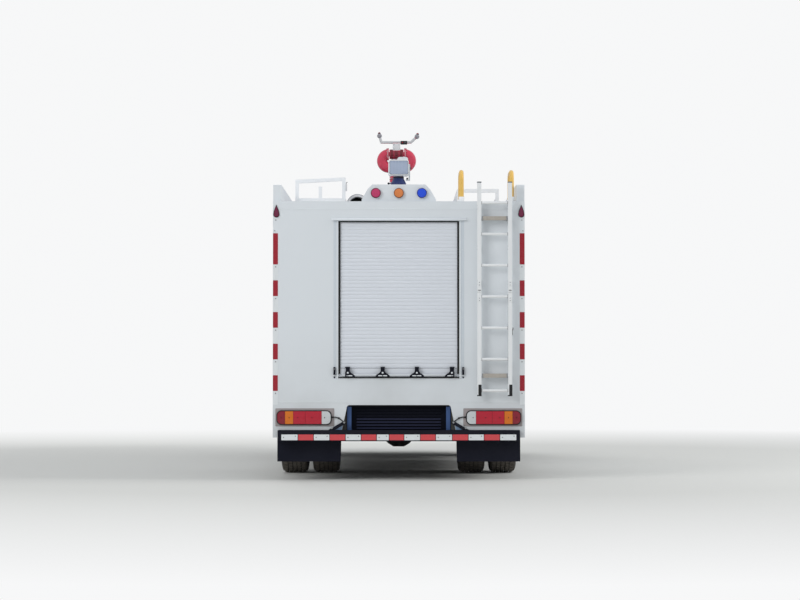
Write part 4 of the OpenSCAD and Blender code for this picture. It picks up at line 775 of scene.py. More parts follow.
# %% [markdown]
# Along both edges of the rear wall runs reflective tape, 50 mm wide, in red and white lengths. A screw head sits
# just below each red length. A mask in the wall's paint could show it too, but a thin film of its own, with soft
# corners and a little proud of the paint, catches the light at its edges.

# %% Edge tape
TAPE_T = 0.0012
TAPE_W = 0.050
TAPE_BOTTOM = 0.745
RED_LENGTHS = [(2.137, 2.447), (1.823, 1.979), (1.509, 1.664), (1.195, 1.350), (0.882, 1.037)]
WHITE_LENGTHS = [(high + 0.001, low - 0.001)
                 for (low, _), (_, high) in zip(RED_LENGTHS, RED_LENGTHS[1:] + [(0, TAPE_BOTTOM)])]

trim = Workpiece("edge_tape")
for side in BOTH:
    for lengths, finish in ((RED_LENGTHS, edge_tape_red), (WHITE_LENGTHS, tape_white)):
        for low, high in lengths:
            trim.sheet(side * (HALF_W - TAPE_W), side * (HALF_W - 0.0015), low, high, 0.004, 2,
                       REAR_Y - TAPE_T, REAR_Y, finish)
    for low, _ in RED_LENGTHS:
        trim.screw((side * 1.222, REAR_Y - TAPE_T, low - 0.024), BACK, 0.0065, bare_steel)
    for x, z in ((1.232, 2.471), (1.222, 2.578)):
        trim.screw((side * x, REAR_Y, z), BACK, 0.0065, bare_steel)
trim.done("chassis")
print("edge tape in", len(RED_LENGTHS), "red lengths a side")

# %% [markdown]
# The rear wall is built from sheets, with a narrow lap across it above the shutter and another below. The shutter
# hangs in a white frame with black brush seals on both sides and a drip rail above, which keeps rain off the slats.
# All of it is thin, but it is built and not painted on, because only real steps cast a shadow.

# %% Rear wall trim
LAP_T = 0.0012
LAP_HEIGHTS = (2.688, 0.772)
# On each side of the shutter, outwards: start and end across, back and front, foot and top, finish, bevel
JAMBS = [(-0.020, 0, -0.001, 0.011, 0.03, 0, black_rubber, 0.003),
         (0, 0.018, -0.006, 0, -0.01, 0.004, white_paint, 0.002),
         # The outer strip of each jamb takes the shaded copy of the body paint, as painted shade.
         (0.018, 0.048, -0.0015, 0, -0.02, 0, white_with_painted_shade, 0.0006)]
DRIP_RAIL = [(0, 0.029), (-0.022, 0.018), (-0.026, 0.006), (-0.023, 0.005), (-0.019, 0.014), (0, 0.014)]

WALL = Matrix.Translation((0, REAR_Y, 0))
trim = Workpiece("rear_wall_trim")
for side in BOTH:
    for x0, x1, y0, y1, low, high, finish, bevel in JAMBS:
        trim.block(side * (OPEN_HALF + x0), side * (OPEN_HALF + x1), y0, y1, OPEN_LOW + low, OPEN_TOP + high, finish,
                   bevel, WALL)
trim.prism([(y, OPEN_TOP + z) for y, z in DRIP_RAIL], "x", -0.669, 0.669, white_paint, 0.001, WALL)
trim.block(-OPEN_HALF, OPEN_HALF, -0.001, 0.012, OPEN_TOP - 0.012, OPEN_TOP, seam_gap, where=WALL)
trim.block(-OPEN_HALF, OPEN_HALF, -0.008, 0.008, OPEN_LOW - 0.012, OPEN_LOW - 0.001, black_rubber, 0.003, WALL)
for z in LAP_HEIGHTS:
    trim.block(-1.19, 1.19, -LAP_T, 0, z - 0.010, z + 0.010, white_paint, 0.0005, WALL)
trim.done("chassis")

screws = Workpiece("rear_wall_screws")
for side in BOTH:
    for k in range(13):
        for z in LAP_HEIGHTS:
            screws.screw((side * (0.06 + 0.094 * k), REAR_Y - LAP_T, z), BACK, 0.004, white_paint)
    for k in range(7):
        screws.screw((side * 0.633, REAR_Y - 0.0015, 1.16 + 0.225 * k), BACK, 0.004, white_paint)
screws.done("chassis")
print("rear wall trimmed")

# %% [markdown]
# The lift bar pulls the shutter down. A pale aluminium rail runs through four black brackets. Each bracket's foot
# has a slot, above it shines the rail's fixing screw, and the outer two end in a small black catch plate. The rail
# is turned in five lengths, because the brackets hide it in between.

# %% Lift bar details
BRACKETS = (-0.505, -0.160, 0.179, 0.526)
BRACKET_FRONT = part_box("lift_bar")[0].y
SLAT_FACE = -4.092
RAIL_PIECES = ((-0.560, -0.531), (-0.472, -0.193), (-0.127, 0.146), (0.212, 0.494), (0.552, 0.560))

grip = Workpiece("lift_bar_details")
for k, x in enumerate(BRACKETS):
    outward = {0: -1, 3: 1}.get(k, 0)
    for lobe in BOTH:
        reach = 0.012 if lobe == outward else 0.045
        grip.sheet(x + lobe * 0.003, x + lobe * reach, OPEN_LOW + 0.008, OPEN_LOW + 0.018, 0.0045, 3,
                   BRACKET_FRONT - 0.0012, BRACKET_FRONT + 0.001, white_paint)
    grip.screw((x, BRACKET_FRONT, OPEN_LOW + 0.042), BACK, 0.0095, white_paint, 0.003)
    grip.block(x - 0.0215, x + 0.0215, BRACKET_FRONT - 0.001, SLAT_FACE, OPEN_LOW + 0.093, OPEN_LOW + 0.101,
               black_paint)
for side, x in zip(BOTH, (BRACKETS[0], BRACKETS[-1])):
    middle = x + side * 0.006
    grip.block(middle - 0.021, middle + 0.021, -4.112, -4.098, 1.108, 1.121, black_plastic, 0.003)
    grip.screw((side * 0.638, -4.124, 1.100), BACK, 0.006, bare_steel)
    grip.screw((side * 0.638, REAR_Y, OPEN_LOW - 0.003), BACK, 0.010, black_paint)
    grip.screw((side * 0.598, REAR_Y, OPEN_LOW - 0.003), BACK, 0.009, black_paint)
    grip.block(side * 0.596, side * 0.662, REAR_Y - 0.010, REAR_Y, OPEN_LOW + 0.008, OPEN_LOW + 0.020, white_paint)
grip.block(-0.579, 0.579, -4.0925, -4.088, OPEN_LOW + 0.0015, OPEN_LOW + 0.0045, seam_gap, 0.001)
grip.block(-0.579, 0.579, -4.0895, -4.088, 1.106, 1.1085, seam_gap, 0.0004)
grip.done("chassis")

rail = Workpiece("lift_bar_rail")
for x0, x1 in RAIL_PIECES:
    edge = min(0.004, (x1 - x0) / 3)
    profile = [(0.0102, 0), (0.0118, edge), (0.0118, x1 - x0 - edge), (0.0102, x1 - x0)]
    rail.turned(profile, (x0, -4.118, OPEN_LOW + 0.018), "x", rail_metal, 20)
rail.done("chassis")
print("lift bar finished with", len(BRACKETS), "brackets")

# %% [markdown]
# Each tail lamp is one long capsule with five fields, from the outer end inwards: dark red, amber, red, red again
# behind a thin rib, and white. A black rubber rim holds the lens, and the whole lamp is bolted on a grey plate.
# One outline is cut into the fields, which keeps its round ends true. The lamp stands for the plain solid of the
# packed model, so the plain one is hidden.

# %% Tail lamps, markers and beacons
TAIL_IN, TAIL_OUT, TAIL_Z, TAIL_H = 0.666, 1.212, 0.618, 0.144
FIELDS = [(1.204, 1.127, deep_red_lens), (1.127, 1.046, amber_lens), (1.046, 0.926, red_lens),
          (0.926, 0.764, red_lens), (0.764, 0.674, clear_lens)]
MARKER_X = 1.216
BEACON_Y, BEACON_Z = -4.06, 2.849
BEACONS = ((-0.229, beacon_red, beacon_red_rim), (0, beacon_amber, beacon_amber_rim),
           (0.229, beacon_blue, beacon_blue_rim))


def capsule(x0, x1, z, height, steps=14):
    return rounded(min(x0, x1), max(x0, x1), z - height / 2, z + height / 2, height * 0.34, steps)


def slice_of(outline, x0, x1):
    """The part of a convex outline that lies between two x values."""
    kept = outline
    for limit, keep in ((x0, 1), (x1, -1)):
        cut = []
        for (ax, az), (bx, bz) in zip(kept, kept[1:] + kept[:1]):
            inside_a, inside_b = keep * (ax - limit) >= 0, keep * (bx - limit) >= 0
            if inside_a:
                cut.append((ax, az))
            if inside_a != inside_b:
                cut.append((limit, az + (limit - ax) / (bx - ax) * (bz - az)))
        kept = cut
    return kept


lamps = Workpiece("rear_lamp_set")
for side in BOTH:
    lamps.sheet(side * 0.640, side * 1.223, 0.532, 0.710, 0.006, 2, REAR_Y - 0.004, REAR_Y, lamp_backing, 0.001)
    lamps.prism(capsule(side * TAIL_IN, side * TAIL_OUT, TAIL_Z, TAIL_H), "y", REAR_Y - 0.026, REAR_Y - 0.003,
                black_rubber, 0.004)
    shape = capsule(side * (TAIL_IN + 0.009), side * (TAIL_OUT - 0.009), TAIL_Z, TAIL_H - 0.018)
    for outer, inner, finish in FIELDS:
        ends = sorted([side * (outer - 0.0008), side * (inner + 0.0008)])
        lamps.prism(slice_of(shape, *ends), "y", REAR_Y - 0.0335, REAR_Y - 0.020, finish, 0.0022)
    for x in (1.165, 1.086, 1.000, 0.860, 0.735):
        lamps.screw((side * x, REAR_Y - 0.0330, TAIL_Z), BACK, 0.0065, seam_gap, 0.0009)
    for x in (0.648, 1.216):
        for z in (0.700, 0.542):
            lamps.screw((side * x, REAR_Y - 0.004, z), BACK, 0.0045, bare_steel)
    drop = [(0.030 * math.cos(a), 0.030 * math.sin(a)) for a in (math.radians(d) for d in range(-205, 30, 12))]
    drop += [(0.024, 0.034), (0.012, 0.066), (0, 0.094), (-0.012, 0.066), (-0.024, 0.034)]
    rim = [(side * MARKER_X + 1.05 * x, 2.634 + 1.03 * z) for x, z in drop]
    dome = [(side * MARKER_X + 0.86 * x, 2.636 + 0.88 * z) for x, z in drop]
    lamps.prism(rim, "y", REAR_Y - 0.006, REAR_Y, black_plastic, 0.0015)
    lamps.prism(dome, "y", REAR_Y - 0.0135, REAR_Y - 0.004, marker_lens, 0.004)
for x, finish, edge in BEACONS:
    rim = [(0, 0), (0.0497, 0), (0.0497, 0.022), (0.0465, 0.0262), (0.0435, 0.0235), (0, 0.0235)]
    dome = [(0.0433, 0.0230), (0.0420, 0.0265), (0.036, 0.0285), (0.020, 0.0296), (0, 0.0300)]
    for profile, part in ((rim, edge), (dome, finish)):
        lamps.turned(profile, (x, BEACON_Y, BEACON_Z), "y", part, 40)
lamps.done("chassis", ["rear_lamps"])
print("lamps with", len(FIELDS), "fields a side")

# %% [markdown]
# The underrun bar is a black box section. Fifteen lengths of tape run along it, white at both ends, and the white
# ones are riveted. Their lengths aren't all the same on the real bar, so the joints between them are listed.

# %% Underrun bar
BAR_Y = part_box("underrun_bar")[0].y
JOINTS = [-1.165, -0.998, -0.843, -0.684, -0.528, -0.373, -0.220, -0.096, 0.052, 0.212, 0.365, 0.529, 0.688, 0.843,
          1.000, 1.165]
trim = Workpiece("underrun_bar_tape")
for k, (x0, x1) in enumerate(zip(JOINTS, JOINTS[1:])):
    trim.sheet(x0 + 0.003, x1 - 0.003, 0.395, 0.452, 0.004, 2, BAR_Y - TAPE_T, BAR_Y, (tape_white, bar_tape_red)[k % 2])
    if k % 2 == 0:
        for x, z in ((x0 + 0.025, 0.4235), (x1 - 0.025, 0.4355)):
            trim.screw((x, BAR_Y - TAPE_T, z), BACK, 0.006, bare_steel)
trim.done("chassis")

fit = Workpiece("underrun_bar_fittings")
for side in BOTH:
    end_cap = [(-4.148, 0.388), (-4.108, 0.388), (-4.108, 0.493), (-4.148, 0.493)]
    fit.prism(end_cap, "x", side * 1.190, side * 1.1995, black_plastic, 0.003)
    for z in (0.42, 0.45):
        fit.hexagon((side * 0.438, -4.105, z), AHEAD, 0.012, 0.008, bare_steel)
    for x, z in ((0.541, 0.570), (0.664, 0.515)):
        fit.hexagon((side * x, -4.128, z), BACK, 0.011, 0.008, bare_steel)
    gusset = [(side * 0.566, 0.497), (side * 0.640, 0.497), (side * 0.556, 0.552)]
    fit.prism(gusset, "y", -4.112, -4.106, gusset_blue, 0.001)
fit.done("chassis")
print("underrun bar taped in", len(JOINTS) - 1, "lengths")

# %% [markdown]
# The recess in the apron is lined in sheet with ribs across its back, above the tow point. The lining and the top
# three ribs are near-black, painted shade for the dark inside of the recess, and narrow strips at its sides carry a
# pale blue painted highlight. A short cable leaves the inner end of each tail lamp through a rubber boot and enters
# the recess at its edge. It is clipped at both ends, so it is trim and not a free cord, and a path of listed points is
# enough to draw it.

# %% Recess and lamp cables
recess = Workpiece("apron_recess")
for k in range(9):
    z = 0.445 + 0.030 * k
    # The top three ribs take the near-black painted shade, under the recess's top edge.
    recess.block(-0.42, 0.42, -4.010, -3.990, z, z + 0.012, rib_blue if k < 6 else painted_shade_black, 0.003)
recess.block(-0.56, 0.56, -3.990, -3.982, 0.430, 0.742, painted_shade_black)
for side in BOTH:
    # The strips at the recess's sides carry the pale blue painted highlight.
    recess.block(side * 0.470, side * 0.512, -4.058, -4.050, 0.430, 0.732, painted_highlight_blue)
    recess.block(side * 0.512, side * 0.560, -4.050, -3.985, 0.430, 0.740, painted_shade_black)
recess.block(-0.508, 0.508, -4.058, -3.982, 0.7425, 0.748, painted_shade_black, 0.001)
recess.block(-0.50, 0.50, -4.0605, -4.058, 0.725, 0.742, seam_gap, 0.001)
recess.done("chassis")

CABLE = [(0.650, -4.114, 0.622), (0.630, -4.112, 0.622), (0.610, -4.109, 0.617), (0.592, -4.107, 0.609),
         (0.575, -4.106, 0.598), (0.560, -4.105, 0.586), (0.548, -4.102, 0.578), (0.540, -4.092, 0.572),
         (0.534, -4.070, 0.568), (0.528, -4.045, 0.566), (0.505, -4.02, 0.566)]
cables = Workpiece("lamp_cables")
for side in BOTH:
    boot = [(0, 0), (0.0125, 0), (0.011, 0.006), (0.008, 0.011), (0.0065, 0.024), (0, 0.026)]
    cables.spun(boot, placed((side * 0.668, REAR_Y - 0.014, 0.622), -90 * side), black_rubber, 16)
    cables.tube([(side * x, y, z) for x, y, z in CABLE], 0.0055, black_rubber, 10)
    cables.block(side * 0.588, side * 0.604, -4.114, REAR_Y, 0.604, 0.622, black_plastic, 0.003)
cables.done("chassis")
print("recess lined")

# %% [markdown]
# Ladder: the rails are aluminium tubes with grey caps. Two of its rungs carry wide treads with a gritty cover and
# steel end blocks. At the fold, screwed plates stiffen the rails above and below the joint. A spring latch on the
# lower half holds it up against the upper one, and rubber feet end it. The fittings are two pieces, since the
# lower half folds and takes its own with it.

# %% Ladder fittings
LADDER_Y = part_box("ladder_lower")[0].y + 0.008
RAIL = 0.041
RAILS = (0.797, 1.101)
RUNG_PITCH = 0.31


def tread(piece, z):
    inner, outer = RAILS[0] + 0.024, RAILS[1] - 0.024
    piece.block(inner, outer, LADDER_Y + 0.006, -4.113, z + 0.012, z + 0.0145, tread_grit, 0.0008)
    piece.block(inner, outer, LADDER_Y + 0.0005, LADDER_Y + 0.004, z - 0.026, z + 0.0145, tread_grit, 0.0015)
    for x in (inner + 0.006, outer - 0.006):
        piece.block(x - 0.007, x + 0.007, LADDER_Y - 0.001, -4.112, z - 0.027, z + 0.0155, bare_steel)


upper = Workpiece("ladder_upper_fittings")
lower = Workpiece("ladder_lower_fittings")
tread(upper, 2.597)
tread(lower, 1.040)
foot_z, top_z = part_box("ladder_lower")[0].z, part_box("ladder_upper")[1].z
for x, toward, pad in zip(RAILS, (1, -1), (0.802, 1.107)):
    a, b = x - RAIL / 2, x + RAIL / 2
    sleeve = a - 0.0015, b + 0.0015, LADDER_Y - 0.0015, LADDER_Y + RAIL + 0.0015
    upper.block(*sleeve, top_z - 0.012, top_z, grey_plastic, 0.004)
    lower.block(pad - 0.0155, pad + 0.0155, LADDER_Y - 0.004, LADDER_Y + 0.001, foot_z + 0.001, foot_z + 0.114,
                black_rubber)
    lower.block(*sleeve, foot_z, foot_z + 0.012, black_rubber, 0.003)
    for piece, z in ((upper, 1.915), (lower, 1.760)):
        piece.block(a + 0.004, b - 0.004, LADDER_Y - 0.0025, LADDER_Y, z, z + 0.055, ladder_metal, 0.001)
    upper.block(x - 0.014, x + 0.014, LADDER_Y - 0.0005, LADDER_Y, 1.8755, 1.8815, black_rubber, 0)
    for z in (1.930, 1.955):
        upper.screw((x, LADDER_Y - 0.0025, z), BACK, 0.005, bare_steel)
        lower.screw((x, LADDER_Y - 0.0025, z - 0.155), BACK, 0.005, bare_steel)
    for z in (1.955, 2.30, 2.70):
        for dz in (-0.016, 0.016):
            upper.screw((x - 0.0205, LADDER_Y + RAIL * 0.5, z + dz), (-1, 0, 0), 0.005, bare_steel)
    for rung in range(7):
        z = 0.886 + RUNG_PITCH * rung
        spot = placed((x + toward * RAIL / 2, LADDER_Y + RAIL / 2, z), 90 * toward)
        ring = [(0, 0), (0.0175, 0), (0.0175, 0.003), (0.0145, 0.005)]
        (lower if z < 1.86 else upper).spun(ring, spot, bare_steel, 18)
lower.block(1.1215, 1.1265, LADDER_Y + 0.004, LADDER_Y + 0.037, 1.435, 1.480, black_plastic)
latch_y = LADDER_Y + 0.02
lower.tube([(1.124, latch_y, 1.478), (1.130, latch_y, 1.496), (1.130, latch_y, 1.51)], 0.004, black_rubber, 8)
# A thin near-black sheet on the right rail's inner face is painted shade.
lower.block(1.0800, 1.0812, LADDER_Y + 0.006, LADDER_Y + 0.034, 0.95, 1.84, painted_shade_black, 0.0004)
upper.done("chassis")
lower.done("ladder_lower")
print("ladder fitted, rails", RAIL, "m square")

# %% [markdown]
# A truck tyre is a revolved carcass with a tread of blocks. The plain ring of the packed model only has its
# outline. Here the sidewall gets its rim strip, bulge and two fine rings, and the tread is cut by four grooves
# round the tyre and by slots across it. Block edges are a little tapered, as the mould leaves them. Bump could
# darken the slots, but a tyre's outline shows its blocks, so they are real.

# %% Treaded tyres
TREAD_FLOOR, TREAD_TOP = 0.5155, 0.5297
LUGS = 56
SIDEWALL = [(0.2863, 0.1073), (0.294, 0.1110), (0.306, 0.1155), (0.330, 0.1305), (0.345, 0.1318), (0.352, 0.1385),
            (0.372, 0.1430), (0.401, 0.1449), (0.405, 0.1440), (0.409, 0.1449), (0.430, 0.1440), (0.434, 0.1428),
            (0.438, 0.1436), (0.470, 0.1406), (0.490, 0.1370), (0.505, 0.1310), (0.512, 0.1260), (TREAD_FLOOR, 0.116)]
TREAD_ROWS = [(-0.1115, -0.072), (-0.064, -0.026), (-0.018, 0.018), (0.026, 0.064), (0.072, 0.1115)]


def tyre_with_tread(piece, x, axle_y, rubber, seed):
    """One tyre: carcass, sidewall rings and five rows of tread blocks."""
    rng = random.Random(seed)
    profile = SIDEWALL + [(TREAD_FLOOR, 0.04), (TREAD_FLOOR, -0.04)] + [(r, -w) for r, w in reversed(SIDEWALL)]
    piece.turned(profile, (x, axle_y, WHEEL_Z), "x", rubber, 96)
    form = bmesh.new()
    for row, (w0, w1) in enumerate(TREAD_ROWS):
        lean = 0.010 * (1 if row % 2 else -1)
        for k in range(LUGS):
            gap = (0.12 if row in (0, 4) else 0.09) + 0.02 * rng.random()
            a0 = 2 * math.pi * (k + 0.25 * (row % 2)) / LUGS
            a1 = a0 + 2 * math.pi / LUGS * (1 - gap)
            ring = []
            for radius, taper in ((0.513, 0), (TREAD_TOP, 0.0018)):
                for w, a, da, dw in ((w0, a0, 1, 1), (w1, a0, 1, -1), (w1, a1, -1, -1), (w0, a1, -1, 1)):
                    angle = a + da * taper / 0.53 + lean * (w - w0) / (w1 - w0)
                    low = radius - 0.0035 * (abs(w) >= 0.1 and radius == TREAD_TOP)
                    ring.append(form.verts.new((low * math.cos(angle), low * math.sin(angle), w + dw * taper)))
            form.faces.new(ring[4:8])
            for i in range(4):
                j = (i + 1) % 4
                form.faces.new((ring[i], ring[j], ring[4 + j], ring[4 + i]))
    piece.take(form, rubber, where=Matrix.Translation((x, axle_y, WHEEL_Z)) @ AXIS_TURN["x"])


TYRE_SETS = [
    ("front_left", FRONT_Y, front_rubber, (-1.0,), "wheel_front_left", "tyre_front_left"),
    ("front_right", FRONT_Y, front_rubber, (1.0,), "wheel_front_right", "tyre_front_right"),
    ("rear_left", BACK_Y, back_rubber, (-0.765, -1.095), "wheels_rear_left", "tyres_rear_left"),
    ("rear_right", BACK_Y, back_rubber, (0.765, 1.095), "wheels_rear_right", "tyres_rear_right"),
]
for k, (tag, axle_y, rubber, places, body, node) in enumerate(TYRE_SETS):
    tyres = Workpiece("treaded_tyres_" + tag)
    for x in places:
        tyre_with_tread(tyres, x, axle_y, rubber, 11 + k)
    tyres.done(body, [node])
print(sum(len(t[3]) for t in TYRE_SETS), "tyres with five rows of blocks")

# %% [markdown]
# Wheel fittings: ten nuts on the hub's flange, each with a washer and a stud's end, a hub cap with its bolts, and
# a valve through the disc. One function makes all four sets, which differ only in their places.

# %% Wheel nuts and hubs
NUTS, NUT_CIRCLE = 10, 0.1675
CAP_BOLTS, CAP_CIRCLE = 8, 0.078
WASHER = [(0, 0), (0.024, 0), (0.023, 0.004), (0, 0.004)]
STUD_END = [(0, 0.034), (0.009, 0.033), (0.0105, 0.031), (0.0105, 0.02)]
HUB_CAP = [(0.099, -0.018), (0.1015, -0.004), (0.095, 0), (0.060, 0), (0.056, 0.010), (0.046, 0.0145),
           (0, 0.0165)]


def wheel_fittings(tag, side, face_x, hub_x, axle_y, body):
    fit = Workpiece("wheel_fittings_" + tag)
    disc = placed((side * face_x, axle_y, WHEEL_Z), 90 * side)
    for x, y in circle(NUT_CIRCLE, NUTS, 0.5):
        spot = disc @ Matrix.Translation((x, y, 0))
        fit.spun(WASHER, spot, bare_steel, 18)
        fit.prism(circle(0.0165, 6), "z", 0.004, 0.024, bare_steel, 0.0018, spot)
        fit.spun(STUD_END, spot, hub_iron, 14)
    cap = placed((side * hub_x, axle_y, WHEEL_Z), 90 * side)
    fit.spun(HUB_CAP, cap, hub_iron)
    for x, y in circle(CAP_CIRCLE, CAP_BOLTS):
        spot = cap @ Matrix.Translation((x, y, 0))
        fit.prism(circle(0.0075, 6), "z", 0.0, 0.007, bare_steel, 0.0008, spot)
    stem = [(0.245, 0.012, -0.012), (0.238, 0.012, 0.008), (0.226, 0.012, 0.022)]
    fit.tube(moved(disc, stem), 0.004, bare_steel, 8)
    fit.tube(moved(disc, [(0.227, 0.012, 0.021), (0.218, 0.012, 0.030)]), 0.0062, black_rubber, 8)
    fit.done(body)


for side, tag in zip(BOTH, SIDES):
    wheel_fittings("front_" + tag, side, 1.076, 1.110, FRONT_Y, "wheel_front_" + tag)
    wheel_fittings("rear_" + tag, side, 0.944, 1.130, BACK_Y, "wheels_rear_" + tag)
print("wheel nuts fitted")

# %% [markdown]
# The monitor is a cast, red-painted nozzle on two swivels. Its castings meet at bolted flanges with bright edges,
# the lower swivel has a grease nipple, and the handlebar is bright steel with grey balls and black end caps. The
# black box on the bar holds the pattern switch. Base, swivel and barrel move apart, so each has its own piece.

# %% Monitor details
MONITOR_X, MONITOR_Y = -0.024, -2.75
SWIVEL_Z, ELBOW_LOW_Z, PIVOT_Z = 3.09, 3.205, 3.345


def band(low, high, edge, width):
    """The profile of a raised band with bevelled edges."""
    return [(low, 0), (high, edge), (high, width - edge), (low, width)]


def bolt_circle(piece, centre, axis, ring_r, count, radius, height, finish):
    """Hexagon heads around a flange whose axis is x or z."""
    for a, b in circle(ring_r, count, 0.5):
        beside = Vector((0, a, b)) if axis[0] else Vector((a, b, 0))
        piece.hexagon(Vector(centre) + beside, axis, radius, height, finish)


base = Workpiece("monitor_base_details")
foot = (MONITOR_X, MONITOR_Y, DECK_Z + 0.016)
base.turned([(0.151, -0.016), (0.151, -0.012), (0.148, -0.0105)], foot, "z", black_rubber, 56)
bolt_circle(base, foot, UP, 0.125, 8, 0.014, 0.010, bare_steel)
base.turned([(0.0605, 0), (0.0705, 0), (0.0705, 0.014), (0.0605, 0.020)], foot, "z", monitor_paint, 40)
base.turned(band(0.0725, 0.0740, 0.002, 0.010), (MONITOR_X, MONITOR_Y, SWIVEL_Z - 0.014), "z", dark_red_paint)
base.done("chassis")

swivel = Workpiece("monitor_swivel_details")
bolt_circle(swivel, (MONITOR_X, MONITOR_Y, SWIVEL_Z + 0.039), UP, 0.0635, 8, 0.0065, 0.005, chrome)
swivel.turned(band(0.0725, 0.0735, 0.0015, 0.006), (MONITOR_X, MONITOR_Y, SWIVEL_Z + 0.018), "z", chrome)
for side in BOTH:
    spot = placed((MONITOR_X + side * 0.088, MONITOR_Y, PIVOT_Z), 90 * side)
    swivel.spun(band(0.0645, 0.0652, 0.001, 0.0055), spot, chrome)
    bolt_circle(swivel, (MONITOR_X + side * 0.102, MONITOR_Y, PIVOT_Z), (side, 0, 0), 0.0602, 8, 0.0042, 0.004, chrome)
    spot = placed((MONITOR_X + side * 0.066, MONITOR_Y, ELBOW_LOW_Z), 90 * side)
    swivel.spun(band(0.0556, 0.0566, 0.002, 0.012), spot, dark_red_paint, 40)
swivel.hexagon((MONITOR_X, MONITOR_Y - 0.055, ELBOW_LOW_Z), BACK, 0.011, 0.010, chrome)
swivel.screw((MONITOR_X, MONITOR_Y - 0.071, SWIVEL_Z + 0.012), BACK, 0.006, bare_steel)
swivel.done("monitor_body")
print("monitor swivels at", SWIVEL_Z, "m and tilts at", PIVOT_Z, "m")

# %% [markdown]
# The barrel tilts, so everything on it is laid out from the tilt axis, and one matrix puts it in its place. Its
# bands are turned from one short profile. The handlebar's corners are balls, which join two straight tubes smoothly.

# %% Barrel and handlebar
PIVOT = Matrix.Translation((MONITOR_X, MONITOR_Y, PIVOT_Z))
GRIP_Y, GRIP_Z = -0.020, 0.123
# Each band round the barrel: place along it, radius, width, finish
BANDS = ((0.075, 0.0500, 0.016, monitor_paint), (0.300, 0.0480, 0.012, chrome),
         (0.470, 0.0535, 0.020, black_rubber), (0.590, 0.0560, 0.010, chrome))
NOZZLE_LIP = [(0.0285, 0), (0.0590, 0), (0.0602, 0.003), (0.0602, 0.009), (0.0590, 0.0115), (0.0285, 0.0115)]

barrel = Workpiece("monitor_barrel_details")
for side in BOTH:
    spot = PIVOT @ placed((side * 0.030, 0, 0), 90 * side)
    barrel.spun(band(0.0505, 0.0512, 0.002, 0.036), spot, dark_red_paint, 44)
barrel.turned(band(0.0500, 0.0512, 0.002, 0.048), (-0.024, 0, 0), "x", dark_red_paint, 44, PIVOT)
barrel.block(-0.0395, 0.0395, -0.0415, 0.0115, 0.036, 0.112, pale_casting, 0.004, PIVOT)
for z in (0.050, 0.096):
    for x in (-0.026, 0.026):
        barrel.screw(PIVOT @ Vector((x, -0.0415, z)), BACK, 0.0045, bare_steel)
barrel.turned(band(0.0134, 0.0142, 0.003, 0.300), (-0.155, GRIP_Y, GRIP_Z), "x", bright_bar, 24, PIVOT)
for foot, knob, rise in ((-0.159, -0.178, 0.068), (0.150, 0.214, 0.060)):
    start, end = Vector((foot, GRIP_Y, GRIP_Z)), Vector((knob, GRIP_Y, GRIP_Z + rise))
    tip = end + Vector(((knob - foot) * 0.1, 0, 0.0247))
    barrel.tube([start, start.lerp(end, 0.7)], 0.0142, bright_bar, 20, where=PIVOT)
    for profile, spot, finish, steps in ((ball(0.0147), start, bright_bar, 24), (ball(0.0255, 14), end, knob_grey, 28),
                                         (ball(0.0143), tip, black_plastic, 20)):
        barrel.turned(profile, spot, "z", finish, steps, PIVOT)
barrel.block(0.044, 0.111, GRIP_Y - 0.020, GRIP_Y + 0.017, GRIP_Z - 0.022, GRIP_Z + 0.015, black_plastic, 0.004, PIVOT)
for x, finish in ((0.062, red_lens), (0.090, grey_plastic)):
    barrel.screw(PIVOT @ Vector((x, GRIP_Y - 0.020, GRIP_Z - 0.003)), BACK, 0.006, finish)
for y, radius, width, finish in BANDS:
    barrel.turned(band(0.0455, radius, 0.002, width), (0, y, 0), "y", finish, 44, PIVOT, -1)
for k, (x, z) in enumerate(circle(0.0525, 12)):
    spot = PIVOT @ placed((x, 0.510, z), 90 - 30 * k)
    barrel.block(-0.004, 0.004, -0.016, 0.016, -0.0015, 0.0035, black_rubber, 0.0015, spot)
# The bore inside the nozzle is near-black painted shade.
barrel.turned([(0.0278, 0), (0.0278, 0.200), (0, 0.200)], (0, 0.4495, 0), "y", painted_shade_black, 32, PIVOT, -1)
barrel.turned(NOZZLE_LIP, (0, 0.6385, 0), "y", chrome, 44, PIVOT, -1)
barrel.done("monitor_barrel")
print("monitor detailed")

# %% [markdown]
# The searchlight is a white box with a fluted glass in a bezel. It turns on a navy post that flares to a bolted
# foot. A hexagon screw at its right side holds the tilt. A bowl behind clear glass would be the full way to make
# it, but from afar only the bluish fluted face shows, so the face itself carries the flutes.

# %% Searchlight details
SEARCH_X, SEARCH_Y = -0.003, -3.25
HEAD_FRONT = SEARCH_Y - 0.100
GLASS_X, GLASS_LOW, GLASS_TOP = 0.092, 3.091, 3.227
HEAD = Matrix.Translation((SEARCH_X, SEARCH_Y, 0))
light = Workpiece("searchlight_details")
# The bezel takes the whiter copy of the body paint, as painted sunlight.
light.sheet(-GLASS_X - 0.011, GLASS_X + 0.009, GLASS_LOW - 0.011, GLASS_TOP + 0.011, 0.020, 6,
            HEAD_FRONT - 0.0005, HEAD_FRONT + 0.004, white_with_painted_sunlight, 0.0008)
for grow, radius, front, back, finish, bevel in ((0.003, 0.014, 0.0018, 0, black_rubber, 0.0006),
                                                 (0, 0.012, 0.0028, 0.001, lamp_face, 0.0008)):
    light.sheet(-GLASS_X - grow, GLASS_X + grow, GLASS_LOW - grow, GLASS_TOP + grow, radius, 6,
                HEAD_FRONT - front, HEAD_FRONT - back, finish, bevel)
for x in (-0.098, 0.097):
    for z in (GLASS_LOW + 0.02, GLASS_TOP - 0.02):
        light.screw((x, HEAD_FRONT - 0.0005, z), BACK, 0.0035, bare_steel)
for k in range(7):
    y = 0.014 * k - 0.045
    light.block(-0.075, 0.088, y, y + 0.004, 3.2395, 3.2445, white_paint, 0.0015, HEAD)
